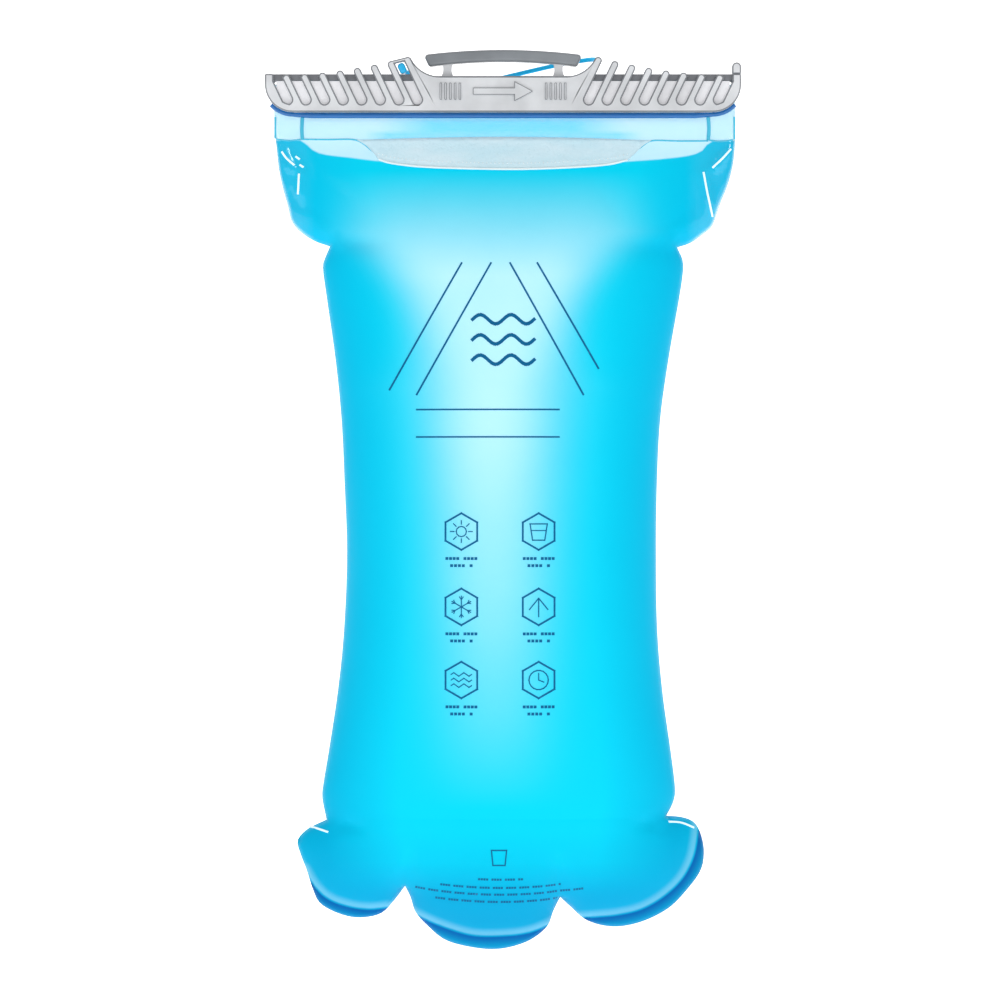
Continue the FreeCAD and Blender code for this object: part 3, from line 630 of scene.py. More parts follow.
    def blow_up(self):
        flat = self.flat
        x, z = flat[:, 0], flat[:, 1]
        held = (z > MOUTH_BOTTOM) | (self.edge_distance < self.rim * 0.98)
        whole = self.swell(held)
        below = np.zeros(len(flat), dtype=bool)
        for number, seam in enumerate(self.seams):
            ends = (seam[0], seam[-1])
            area = np.vstack([seam, [(ends[1][0] + 20, ends[1][1] - 2), (ends[1][0] + 20, -380),
                                     (ends[0][0] - 20, -380), (ends[0][0] - 20, ends[0][1] - 2)]])
            left, right = LOBE_SPANS[number]
            lobe = (x > left) & (x < right)
            below |= inside(area, flat) & lobe | (distance_to(seam, flat) < 1e-3)
        self.below = below
        panel = self.swell(held | below)
        heights, targets = np.array(FULLNESS).T
        order = np.argsort(heights)
        scale_z = np.linspace(-352, -26, 60)
        column = np.array([whole[np.argmin((x + 6) ** 2 + (z - row) ** 2)] for row in scale_z])
        scale = np.interp(scale_z, heights[order], targets[order]) / np.maximum(column, 1.0)
        kernel = np.ones(3) / 3
        scale = np.convolve(np.r_[scale[0], scale, scale[-1]], kernel, "valid")
        factor = np.interp(z, scale_z, scale)
        lobes = np.clip((-300 - z) / 22, 0, 1)
        back = whole * factor
        front = np.maximum(panel * factor * (1 + 0.12 * lobes), whole * factor * (1 - 0.52 * lobes))
        for start, end, half_width, height in FOLDS:
            a, b = np.array(start, dtype=float), np.array(end, dtype=float)
            run = b - a
            t = np.clip((flat - a) @ run / (run @ run), 0, 1)
            near = np.linalg.norm(flat - a - t[:, None] * run, axis=1)
            ridge = height * np.exp(-(near / half_width) ** 2) * np.sin(math.pi * (0.12 + 0.76 * t))
            fade = np.clip(self.edge_distance / 3, 0, 1)
            front += ridge * fade
            back += 0.6 * ridge * fade
        base = MOUTH_HALF_THICKNESS * np.clip(self.edge_distance / self.rim, 0, 1)
        ends = np.clip((z - MOUTH_BOTTOM + 14) / 14, 0, 1)
        base = np.maximum(0.35 * np.clip(self.edge_distance / 0.4, 0, 1), base * ends)
        self.front = np.maximum(front, 0) + base
        self.back = np.maximum(back, 0) + base
        self.front[self.on_edge] = 0
        self.back[self.on_edge] = 0
        seam_distance = np.min([distance_to(seam, flat) for seam in self.seams], axis=0)
        self.seam_distance = np.where(below, -seam_distance, seam_distance)
        line = np.interp(x, self.waterline[:, 0], self.waterline[:, 1])
        self.over_water = z - line
        self.tree = BVHTree.FromPolygons([(px, -py, pz) for (px, pz), py in zip(flat, self.front)],
                                         self.faces.tolist())

    def touch(self, x, z, lift):
        """The point in metres that stands this far off the front of the film, all in millimetres."""
        hit = self.tree.ray_cast(Vector((x, -200, z)), Vector((0, 1, 0)))[0]
        y = hit.y if hit else -0.5
        return Vector((x * MM, (y - lift) * MM, z * MM))


SHAPE = {}


def bag_shape(context):
    """The bag's shape, worked out once."""
    if "bag" not in SHAPE:
        SHAPE["bag"] = BagShape(context.scene.bladder_film)
    return SHAPE["bag"]


def shades(bag):
    """The colour masks of the film, one value for each flat point."""
    x, z = bag.flat[:, 0], bag.flat[:, 1]
    # The pale glow is narrow low down, spreads under the waterline and fades out at both ends.
    reach = 20 + 34 * np.minimum(np.exp((z + 69) / 26), 1)
    sharp = np.interp(z, [-130, -69], [2.2, 6])
    rise, fall = np.clip((z + 297) / 150, 0, 1), np.clip((-44 - z) / 42, 0, 1)
    glow = 0.88 * (rise * fall) ** 1.2
    pale = glow * np.exp(-np.abs((x + 4) / reach) ** sharp)
    # The depth mask is painted shade: 0 at the edges and below the lobes, 1 in the middle.
    widths, heights = np.array(RIGHT_EAR + RIGHT_SIDE[1:])[::-1].T
    half = np.interp(z, heights, widths + 1)
    depth = np.clip((1.04 - np.abs(x + 1) / half) / 0.46, 0, 1) * np.clip((z + 333) / 14, 0, 1)
    level = np.clip(bag.over_water, -4, 4)
    ply = np.clip(bag.seam_distance, -8, 8)
    # Painted shade: low grows from 0 to 1 down the bottom of the lobes.
    low = np.clip((-306 - z) / 36, 0, 1)
    tint = np.clip((50 - np.abs(x)) / 22, 0, 1) * np.exp(-((z + 26) / 4.4) ** 4)
    tint = np.maximum(tint, np.clip((56 - np.abs(x)) / 10, 0, 1) * np.exp(-((z + 29.8) / 1.6) ** 2))
    gloss = np.clip((np.abs(x + 1) - 74) / 6, 0, 1) * np.clip((z + 80) / 10, 0, 1)
    gloss = np.maximum(gloss, 0.35 * (level > 0))
    return {"depth": depth, "pale": pale, "level": level, "ply": ply, "low": low, "tint": tint,
            "gloss": gloss}


def make_film(context):
    """Both faces of the film, joined round the outline, with a hole for the hose port."""
    bag = bag_shape(context)
    count = len(bag.flat)
    front = [(x * MM, -y * MM, z * MM) for (x, z), y in zip(bag.flat, bag.front)]
    back = [(x * MM, y * MM, z * MM) for (x, z), y in zip(bag.flat, bag.back)]
    middles = bag.flat[bag.faces].mean(axis=1)
    solid = np.linalg.norm(middles - PORT_MIDDLE, axis=1) > PORT_HOLE
    other = np.where(bag.on_edge, np.arange(count), np.arange(count) + count)
    faces = bag.faces.tolist() + other[bag.faces[solid]][:, ::-1].tolist()
    made = collect("bag_film", front + back, faces, film_material(context.scene.bladder_film))
    masks = shades(bag)
    for name, values in masks.items():
        behind = values.copy()
        if name == "ply":
            behind = values * 0 + 8
        add_value(made.data, name, np.concatenate([values, behind]))
    shape = bmesh.new()
    shape.from_mesh(made.data)
    bmesh.ops.delete(shape, geom=[v for v in shape.verts if not v.link_faces], context="VERTS")
    bmesh.ops.recalc_face_normals(shape, faces=shape.faces)
    shape.to_mesh(made.data)
    shape.free()
    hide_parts("front_film", "back_film", "perimeter_weld", "mouth_film")
    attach(made, "bag")


def make_water(context):
    """The water: a closed body a little inside the film, flat on top, hollow round the valve."""
    bag = bag_shape(context)
    gap, thinnest, port_depth = 0.7, 0.8, 14.0
    enough = np.minimum(bag.front, bag.back) > gap + thinnest
    wet = enough & (bag.over_water < 0.01)
    faces = bag.faces[wet[bag.faces].all(axis=1)]
    used = np.unique(faces)
    index = np.full(len(bag.flat), -1)
    index[used] = np.arange(len(used))
    faces = index[faces]
    flat, front, back = bag.flat[used], bag.front[used] - gap, bag.back[used] - gap
    port = np.linalg.norm(flat - PORT_MIDDLE, axis=1)
    back = np.where(port < PORT_HOLE + 0.4, np.minimum(back, port_depth), back)
    count = len(used)
    vertices = [(x * MM, -y * MM, z * MM) for (x, z), y in zip(flat, front)]
    vertices += [(x * MM, y * MM, z * MM) for (x, z), y in zip(flat, back)]
    sides = [(a, b, b + count, a + count) for a, b in BagShape.boundary(faces)]
    every = faces.tolist() + (faces[:, ::-1] + count).tolist() + sides
    made = collect("water_body", vertices, every, water_material(context.scene.bladder_film))
    face_outwards(made)
    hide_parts("water_fill")
    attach(made, "bag")


# --- Geometry Nodes ---------------------------------------------------------
class Growth:
    """A node tree for pieces that repeat or follow a path, with named inputs."""

    def __init__(self, name, inputs):
        self.tree = bpy.data.node_groups.new(name, "GeometryNodeTree")
        face = self.tree.interface
        face.new_socket("Geometry", in_out="INPUT", socket_type="NodeSocketGeometry")
        self.keys = {}
        for label, kind, default in inputs:
            socket = face.new_socket(label, in_out="INPUT", socket_type=kind)
            if default is not None:
                socket.default_value = default
            self.keys[label] = socket.identifier
        face.new_socket("Geometry", in_out="OUTPUT", socket_type="NodeSocketGeometry")
        self.given = self.tree.nodes.new("NodeGroupInput").outputs
        self.result = self.tree.nodes.new("NodeGroupOutput").inputs[0]

    def node(self, kind, settings, inputs, output=0):
        made = self.tree.nodes.new(kind)
        for key, value in settings.items():
            setattr(made, key, value)
        for key, value in inputs.items():
            if isinstance(value, bpy.types.NodeSocket):
                self.tree.links.new(value, made.inputs[key])
            else:
                made.inputs[key].default_value = value
        return made.outputs[output]

    def finish(self, geometry):
        whole = self.node("GeometryNodeRealizeInstances", {}, {"Geometry": geometry})
        dressed = self.node("GeometryNodeSetMaterial", {},
                            {"Geometry": whole, "Material": self.given["Material"]})
        self.tree.links.new(dressed, self.result)
        return self

    def grow(self, name, data, values):
        """Runs the tree on a curve or mesh and returns the result as a plain mesh object."""
        seed = bpy.data.objects.new(name + "_seed", data)
        bpy.context.collection.objects.link(seed)
        modifier = seed.modifiers.new("growth", "NODES")
        modifier.node_group = self.tree
        for label, value in values.items():
            modifier[self.keys[label]] = value
        bpy.context.view_layer.update()
        evaluated = seed.evaluated_get(bpy.context.evaluated_depsgraph_get())
        mesh = bpy.data.meshes.new_from_object(evaluated)
        bpy.data.objects.remove(seed)
        mesh.name = name
        mesh.materials.clear()
        mesh.materials.append(values["Material"])
        mesh.polygons.foreach_set("material_index", [0] * len(mesh.polygons))
        made = bpy.data.objects.new(name, mesh)
        bpy.context.collection.objects.link(made)
        return made


def tube_growth():
    """A round tube along every spline of a curve."""
    g = Growth("tube_along_path", [("Radius", "NodeSocketFloat", 0.001), ("Step", "NodeSocketFloat", 0.001),
                                   ("Material", "NodeSocketMaterial", None)])
    path = g.node("GeometryNodeResampleCurve", {"mode": "LENGTH"},
                  {"Curve": g.given["Geometry"], "Length": g.given["Step"]})
    ring = g.node("GeometryNodeCurvePrimitiveCircle", {}, {"Resolution": 12, "Radius": g.given["Radius"]})
    tube = g.node("GeometryNodeCurveToMesh", {}, {"Curve": path, "Profile Curve": ring, "Fill Caps": True})
    smooth = g.node("GeometryNodeSetShadeSmooth", {}, {"Geometry": tube})
    return g.finish(smooth)


def dot_growth():
    """Small domes at even steps along a curve."""
    g = Growth("dots_along_path", [("Spacing", "NodeSocketFloat", 0.002),
                                   ("Radius", "NodeSocketFloat", 0.0003),
                                   ("Material", "NodeSocketMaterial", None)])
    path = g.node("GeometryNodeResampleCurve", {"mode": "LENGTH"},
                  {"Curve": g.given["Geometry"], "Length": g.given["Spacing"]})
    dot = g.node("GeometryNodeMeshIcoSphere", {}, {"Radius": g.given["Radius"], "Subdivisions": 2})
    dots = g.node("GeometryNodeInstanceOnPoints", {}, {"Points": path, "Instance": dot})
    return g.finish(dots)


def rib_growth():
    """A row of upright raised ribs along X, centred on the points of a mesh."""
    g = Growth("grip_ribs", [("Count", "NodeSocketInt", 5), ("Spacing", "NodeSocketFloat", 0.0018),
                             ("Size", "NodeSocketVector", (0.0007, 0.0007, 0.005)),
                             ("Material", "NodeSocketMaterial", None)])
    step = g.node("ShaderNodeCombineXYZ", {}, {"X": g.given["Spacing"]})
    row = g.node("GeometryNodeMeshLine", {}, {"Count": g.given["Count"], "Offset": step})
    bar = g.node("GeometryNodeMeshCube", {}, {"Size": g.given["Size"]})
    ribs = g.node("GeometryNodeInstanceOnPoints", {}, {"Points": row, "Instance": bar})
    whole = g.node("GeometryNodeRealizeInstances", {}, {"Geometry": ribs})
    rows = g.node("GeometryNodeInstanceOnPoints", {}, {"Points": g.given["Geometry"], "Instance": whole})
    return g.finish(rows)


def curve_through(name, runs):
    """Curve data with one poly spline for each run of points in metres."""
    data = bpy.data.curves.new(name, "CURVE")
    data.dimensions = "3D"
    for run in runs:
        spline = data.splines.new("POLY")
        spline.points.add(len(run) - 1)
        for point, place in zip(spline.points, run):
            point.co = (*place, 1.0)
    return data


def on_film(bag, points, lift, spacing=1.5):
    """A run that follows the front of the film."""
    return [bag.touch(x, z, lift) for x, z in flowing(points, spacing)]


def make_mouth_trim(context):
    """A dark blue tube along the fold of film round the clip's lower edge, the weld ridges of the mouth, and
    pale strokes painted as highlights.
    """
    trim = context.scene.bladder_trim
    bag = bag_shape(context)
    tube = tube_growth()
    # Tube along the fold of film under the clip; its dark blue colour is painted shade.
    middle, radius, depth = (84.0, -9.4), 11.5, -0.0008
    arc = [math.radians(a) for a in range(-42, -91, -4)]
    right = [((middle[0] + radius * math.cos(a)) * MM, depth, (middle[1] + radius * math.sin(a)) * MM)
             for a in arc]
    bottom = middle[1] - radius
    right += [((middle[0] - i * 0.9) * MM, depth - 0.0023 * i / 8, (bottom - 0.75 * i / 8) * MM)
              for i in range(1, 9)]
    left = [(-x, y, z) for x, y, z in reversed(right)]
    fold_shade = tube.grow("mouth_fold_shade", curve_through("fold_shade_path", [right + left]),
                       {"Radius": trim.fold_shade_radius, "Step": 0.001,
                        "Material": gloss_material("fold_shade_blue", tuple(trim.fold_shade))})
    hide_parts("mouth_bead")
    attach(fold_shade, "bag")
    uprights = [[(-80.2, -22.4), (-80.4, -27), (-80.2, -31.2)], [(82, -22.4), (82.3, -27), (82, -31.4)]]
    levels = [
        [(-80.4, -31.1), (-70, -31.2), (-60, -31.2), (-56.2, -32.6), (-52.8, -35.4), (-48, -39.2)],
        [(82, -31.7), (70, -31.8), (60, -31.6), (56.8, -33), (52.6, -36.4), (49, -39.8)],
        [(-90.6, -30.9), (-86, -31.6), (-81, -31.2)], [(82.4, -31.4), (87, -32), (91.8, -31.2)],
    ]
    # Painted highlights: pale glowing strokes on the ears and lobe shoulders, where the glossy film catches
    # the light.
    highlight_strokes = [
        [(-88.4, -36), (-86.4, -38.8), (-83.2, -41.6)], [(-82.8, -38), (-81.2, -39.2)],
        [(-81.2, -41.4), (-79.6, -42.4)], [(-81.4, -45), (-81.8, -53.2)],
        [(91, -35), (87.6, -38.8), (83.6, -42.6)], [(80, -44.4), (81.6, -53.2), (83.6, -62)],
        [(-77.2, -305.8), (-73.4, -306.4), (-69.6, -307.4)], [(66, -303.4), (71.4, -304), (76.2, -306)],
    ]
    sides = [[(-91, -22), (-91.1, -30.6)], [(92.4, -22), (92.5, -31)]]
    blue = gloss_material("weld_blue", tuple(trim.ridge), 0.22)
    light = gloss_material("painted_highlight_white", srgb(226, 248, 254), 0.1, 0.3)
    for name, runs, width, material in (
        ("mouth_uprights", uprights, 1.9, blue), ("mouth_levels", levels, 0.8, blue),
        ("mouth_sides", sides, 1.1, blue), ("ear_highlight_strokes", highlight_strokes, 1.1, light),
    ):
        paths = curve_through(name + "_path", [on_film(bag, run, 0.05) for run in runs])
        ridges = tube.grow(name, paths, {"Radius": trim.ridge_radius * width, "Step": 0.0012,
                                         "Material": material})
        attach(ridges, "bag")


def drape(bag, name, outline, material, lift, spacing=1.6):
    """A thin sheet that follows the front of the film inside a closed outline."""
    polygon = np.array(outline, dtype=float)
    low, high = polygon.min(axis=0), polygon.max(axis=0)
    xs, zs = np.arange(low[0], high[0], spacing), np.arange(low[1], high[1], spacing)
    grid = np.array([(x, z) for x in xs for z in zs])
    grid = grid[inside(polygon, grid)]
    grid = grid[distance_to(np.vstack([polygon, polygon[:1]]), grid) > spacing * 0.5]
    points = list(map(tuple, polygon)) + list(map(tuple, grid))
    edges = [(i, (i + 1) % len(polygon)) for i in range(len(polygon))]
    found = delaunay_2d_cdt([Vector(p) for p in points], edges, [], 0, 1e-5)
    flat = np.array([tuple(p) for p in found[0]])
    faces = np.array([tuple(f) for f in found[2]])
    faces = faces[inside(polygon, flat[faces].mean(axis=1))]
    return collect(name, [bag.touch(x, z, lift) for x, z in flat], faces.tolist(), material)


def thicken(made, thickness):
    """Turns a sheet into a closed thin solid."""
    modifier = made.modifiers.new("thickness", "SOLIDIFY")
    modifier.thickness = thickness
    modifier.offset = -1.0
    bpy.context.view_layer.update()
    evaluated = made.evaluated_get(bpy.context.evaluated_depsgraph_get())
    mesh = bpy.data.meshes.new_from_object(evaluated)
    made.modifiers.clear()
    made.data = mesh
    face_outwards(made)


def make_patch(context):
    """The pebbled grip patch over the waterline, with its bright lower edge and its row of dots."""
    trim = context.scene.bladder_trim
    bag = bag_shape(context)
    lower = [(-49.5, -39.4), (-44, -41), (-32, -42.4), (-12, -43.2), (8, -43.4), (28, -42.6),
             (42, -41.4), (49.6, -39.6)]
    left = [(-58.5, -31.4), (-55, -33.4), (-52, -36.4), (-49.5, -39.4)]
    right = [(49.6, -39.6), (53, -36.6), (56, -33.6), (59.4, -31.6)]
    top = [(59.4, -31.6), (30, -30.6), (0, -30.2), (-30, -30.6), (-58.5, -31.4)]
    outline = np.vstack([flowing(run, 1.5)[:-1] for run in (left, lower, right, top)])
    patch = drape(bag, "grip_film", outline, patch_material(), 0.45)
    thicken(patch, 0.0003)
    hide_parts("grip_patch")
    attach(patch, "bag")
    white = gloss_material("edge_white", srgb(240, 252, 255), 0.12)
    edge = tube_growth().grow("grip_edge", curve_through("grip_edge_path", [on_film(bag, lower, 0.45)]),
                              {"Radius": 0.00045, "Step": 0.0015, "Material": white})
    dots = [(x, z + 2.4) for x, z in lower]
    row = dot_growth().grow("grip_dots", curve_through("dot_path", [on_film(bag, dots, 0.55)]),
                            {"Spacing": trim.dot_spacing, "Radius": trim.dot_radius, "Material": white})
    for made in (edge, row):
        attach(made, "bag")


class Ink:
    """Flat printed strokes that follow the film."""

    def __init__(self, bag):
        self.bag = bag
        self.vertices, self.faces = [], []

    def add(self, flat, faces):
        first = len(self.vertices)
        self.vertices += [self.bag.touch(x, z, 0.12) for x, z in flat]
        self.faces += [[first + i for i in face] for face in faces]

    def stroke(self, points, width, closed=False):
        """A line of even width through sharp corners."""
        corners = [np.array(p, dtype=float) for p in points]
        if closed:
            corners.append(corners[0])
        for a, b in zip(corners, corners[1:]):
            run = b - a
            reach = np.linalg.norm(run)
            if reach < 1e-6:
                continue
            across = np.array([-run[1], run[0]]) / reach * width / 2
            along = run / reach * width / 2
            steps = max(1, int(reach / 2))
            flat = []
            for i in range(steps + 1):
                middle = (a - along) + (run + 2 * along) * i / steps
                flat += [middle - across, middle + across]
            faces = [(2 * i, 2 * i + 2, 2 * i + 3, 2 * i + 1) for i in range(steps)]
            self.add(flat, faces)

    def loop(self, middle, radius, count, width, turn=0.0):
        points = [(middle[0] + radius * math.cos(turn + 2 * math.pi * i / count),
                   middle[1] + radius * math.sin(turn + 2 * math.pi * i / count)) for i in range(count)]
        self.stroke(points, width, True)

    def blocks(self, line, height):
        """A row of small upright blocks along a line, standing in for a row of small print."""
        places = flowing(line, height * 0.95)
        for number, (a, b) in enumerate(zip(places, places[1:])):
            if number % 5 != 4:
                self.stroke([a + (b - a) * 0.5, a + (b - a) * 0.52], height * 0.72)


def make_print(context):
    """Plain print on the front: rules, waves, a cup, rows of small blocks and six care signs."""
    bag = bag_shape(context)
    ink = Ink(bag)
    for z in (-139.6, -150.4):
        ink.stroke([(-34, z), (22, z)], 0.6)
    for column in (-16.4, 14.0):
        for number, z in enumerate((-187.6, -217.2, -246.0)):
            ink.loop((column, z), 7.2, 6, 0.7, math.pi / 2)
            ink.blocks([(column - 6.4, z - 10.6), (column + 6.4, z - 10.6)], 1.5)
            ink.blocks([(column - 4.6, z - 13.4), (column + 4.6, z - 13.4)], 1.5)
            care_sign(ink, (column, z), number if column < 0 else number + 3)
    for top, foot in (((-16.4, -81.6), (-44.8, -131.6)), ((-4.8, -81.6), (-34, -133.6)),
                      ((2.8, -81.6), (31.6, -133.6)), ((13.6, -81.6), (37.6, -123.2))):
        ink.stroke([top, foot], 0.7)
    for row in (-104, -112, -120):
        ink.stroke([(-12 + i * 1.1, row + 1.8 * math.sin(i * 0.57)) for i in range(23)], 1.3)
    ink.stroke([(-4.6, -313.6), (-4, -319.6), (0.8, -319.6), (1.4, -313.6)], 0.5, True)
    for drop, half in ((325.4, 9), (328.8, 24), (331.6, 34), (334.6, 26)):
        ink.blocks([(x, -drop + 0.0022 * x * x) for x in np.linspace(-half - 1, half - 1, 12)], 1.1)
    made = collect("front_print", ink.vertices, ink.faces, ink_material(context.scene.bladder_trim), False)
    thicken(made, 0.00008)
    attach(made, "bag")


def care_sign(ink, middle, number):
    """One of six simple signs for care of the bag."""
    x, z = middle
    if number == 0:
        ink.loop((x, z), 2.0, 12, 0.4)
        for i in range(8):
            c, s = math.cos(i * math.pi / 4), math.sin(i * math.pi / 4)
            ink.stroke([(x + 2.9 * c, z + 2.9 * s), (x + 4.3 * c, z + 4.3 * s)], 0.4)
    elif number == 1:
        for i in range(3):
            c, s = math.cos(i * math.pi / 3 + math.pi / 2), math.sin(i * math.pi / 3 + math.pi / 2)
            ink.stroke([(x - 4.2 * c, z - 4.2 * s), (x + 4.2 * c, z + 4.2 * s)], 0.4)
            for way in (-1, 1):
                tip = (x + way * 2.8 * c, z + way * 2.8 * s)
                for turn in (-0.6, 0.6):
                    a = math.atan2(way * s, way * c) + turn
                    ink.stroke([tip, (tip[0] + 1.3 * math.cos(a), tip[1] + 1.3 * math.sin(a))], 0.35)
    elif number == 2:
        for row in (-2.2, 0, 2.2):
            ink.stroke([(x - 4 + i, z + row + 0.7 * math.sin(i * 1.57)) for i in range(9)], 0.4)
    elif number == 3:
        ink.stroke([(x - 3.4, z + 3), (x - 2.4, z - 3.4), (x + 2.4, z - 3.4), (x + 3.4, z + 3)], 0.45, True)
        ink.stroke([(x - 3, z + 0.4), (x + 3, z + 0.4)], 0.35)
    elif number == 4:
        ink.stroke([(x - 3.6, z - 1), (x, z + 3.4), (x + 3.6, z - 1)], 0.45)
        ink.stroke([(x, z + 3.2), (x, z - 3.8)], 0.45)
    else:
        ink.loop((x, z), 3.8, 18, 0.45)
        ink.stroke([(x, z), (x, z + 2.6)], 0.4)
        ink.stroke([(x, z), (x + 2.0, z - 0.8)], 0.4)


def soften(node, width, material, edge=None):
    """A CAD piece with its material and slightly rounded edges, which may get a darker colour of their own as
    painted shade.
    """
    made = NODES[node]
    for slot in made.material_slots:
        slot.material = material
    if width:
        weld = made.modifiers.new("weld", "WELD")
        weld.merge_threshold = 1e-6
        flat = made.modifiers.new("flat", "DECIMATE")
        flat.decimate_type = "DISSOLVE"
        flat.angle_limit = math.radians(1)
        bevel = made.modifiers.new("bevel", "BEVEL")
        bevel.width = width
        bevel.segments = 3
        bevel.limit_method = "ANGLE"
        bevel.angle_limit = math.radians(40)
        bevel.use_clamp_overlap = False
        if edge:
            made.data.materials.append(edge)
            bevel.material = len(made.data.materials) - 1


def make_clip(context):
    """The clip's CAD pieces, dressed in their plastics."""
    look = context.scene.bladder_clip
    plate = plastic("clip_plastic", tuple(look.plate), 0.42, 0.0005, 0.12)
    rail = plastic("rail_plastic", tuple(look.rail), 0.5)
    bar = plastic("bar_plastic", tuple(look.bar), 0.34, 0.0006, 0.1, 0.15)
    # Painted light: the strips glow so the windows read bright although the strips sit in shade.
    strip = plastic("strip_plastic", tuple(look.strip), 0.5, glow=0.25)
    # Painted shade: a darker plastic on the bevels gives the clip dark outlines.
    wear_and_edge_shade = plastic("edge_plastic", tuple(look.edge), 0.36, 0.0005, 0.1)
    for node, material, width in (
        ("clip_front_comb", plate, look.edge_round), ("clip_back_wall", plate, look.edge_round),
        ("clip_end_stop", plate, look.edge_round), ("clip_top_rail", rail, 0), ("hang_bar", bar, 0),
        ("hang_posts", plate, 0), ("front_strip", strip, 0), ("back_strip", strip, 0),
    ):
        soften(node, width, material, wear_and_edge_shade)


def make_clip_marks(context):
    """Raised marks on the clip's plate: an arrow that shows which way it slides off, and grip ribs."""
    look = context.scene.bladder_clip
    plate = plastic("mark_plastic", tuple(c * 0.97 for c in look.plate), 0.38)
    seeds = bpy.data.meshes.new("rib_seeds")
    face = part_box("clip_front_comb")[0][1]
    middle = -12.2 * MM
    spacing = 1.9 * MM
    row = (look.rib_count - 1) * spacing
    seeds.from_pydata([(-21 * MM - row / 2, face, middle), (21 * MM - row / 2, face, middle)], [], [])
    ribs = rib_growth().grow("grip_ribs", seeds, {
        "Count": look.rib_count, "Spacing": spacing, "Size": (0.0009, look.mark_rise * 2, 0.0068),
        "Material": plate})
    outline = [(-12, -1.4), (4.5, -1.4), (4.5, -4), (12, 0), (4.5, 4), (4.5, 1.4), (-12, 1.4)]
    front, rear = face - look.mark_rise, face + 0.1 * MM
    count = len(outline)
    vertices = [(x * MM, y, z * MM + middle) for y in (front, rear) for x, z in outline]
    faces = [list(range(count)), list(range(2 * count - 1, count - 1, -1))]
    faces += [(i, (i + 1) % count, count + (i + 1) % count, count + i) for i in range(count)]
    arrow = collect("slide_arrow", vertices, faces, plate, False)
    face_outwards(arrow)
    # Painted shade: darker bevels outline the raised marks.
    edge = plastic("mark_edge", tuple(look.edge), 0.36)
    for made in (ribs, arrow):
        made.data.materials.append(edge)
        bevel = made.modifiers.new("bevel", "BEVEL")
        bevel.width = 0.00028
        bevel.segments = 2
        bevel.material = 1
        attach(made, "clip")


def make_tether(context):
    """The blue tether on one smooth line behind the clip."""
    look = context.scene.bladder_clip
    data = bpy.data.curves.new("tether_line", "CURVE")
    data.dimensions = "3D"
    data.bevel_depth = 0.0009
    data.bevel_resolution = 4
    data.resolution_u = 10
    data.use_fill_caps = True
    spline = data.splines.new("NURBS")
    spline.points.add(len(TETHER) - 1)
    for point, place in zip(spline.points, TETHER):
        point.co = (*[c * MM for c in place], 1.0)
    spline.order_u = 3
    spline.use_endpoint_u = True
    made = bpy.data.objects.new("tether_line", data)
    bpy.context.collection.objects.link(made)
    data.materials.append(cord_material("tether_rubber", tuple(look.tether)))
    for slot in NODES["tether_bead"].material_slots:
        slot.material = gloss_material("bead_rubber", tuple(look.tether), 0.35)
    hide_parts("tether_cord")
    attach(made, "clip")


def make_spring(node, along, steel):
    """A steel copy of a CAD spring, fixed to the bag in place of the CAD spring, which is hidden."""
    source = NODES[node]
    mesh = source.data.copy()
    mesh.transform(source.matrix_world)
    mesh.materials.clear()
    mesh.materials.append(steel)
    made = bpy.data.objects.new(node + "_wire", mesh)
    bpy.context.collection.objects.link(made)
    low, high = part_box(node)
    anchor = [(a + b) / 2 for a, b in zip(low, high)]
    anchor[along] = low[along]
    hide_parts(node)
    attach(made, "bag")
    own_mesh(made)


def make_port(context):
    """The hose port's CAD pieces, dressed in their finishes."""
    look = context.scene.bladder_port
    shell = plastic("port_plastic", tuple(look.body), 0.36, 0.0005, 0.12, 0.2)
    button = plastic("button_plastic", tuple(look.button), 0.34, 0.0005, 0.1, 0.2)
    seal = plastic("seal_rubber", srgb(24, 24, 26), 0.6)
    steel = steel_material()
    for node, material, width in (
        ("port_flange", shell, 0), ("port_body", shell, 0),
        ("latch_housing", shell, look.edge_round), ("port_cover", shell, 0),
        ("latch_button", button, look.edge_round), ("valve_cage", shell, 0),
        ("valve_poppet", button, 0), ("poppet_seal", seal, 0),
    ):
        soften(node, width, material)
    make_spring("latch_spring", 2, steel)
    make_spring("valve_spring", 1, steel)


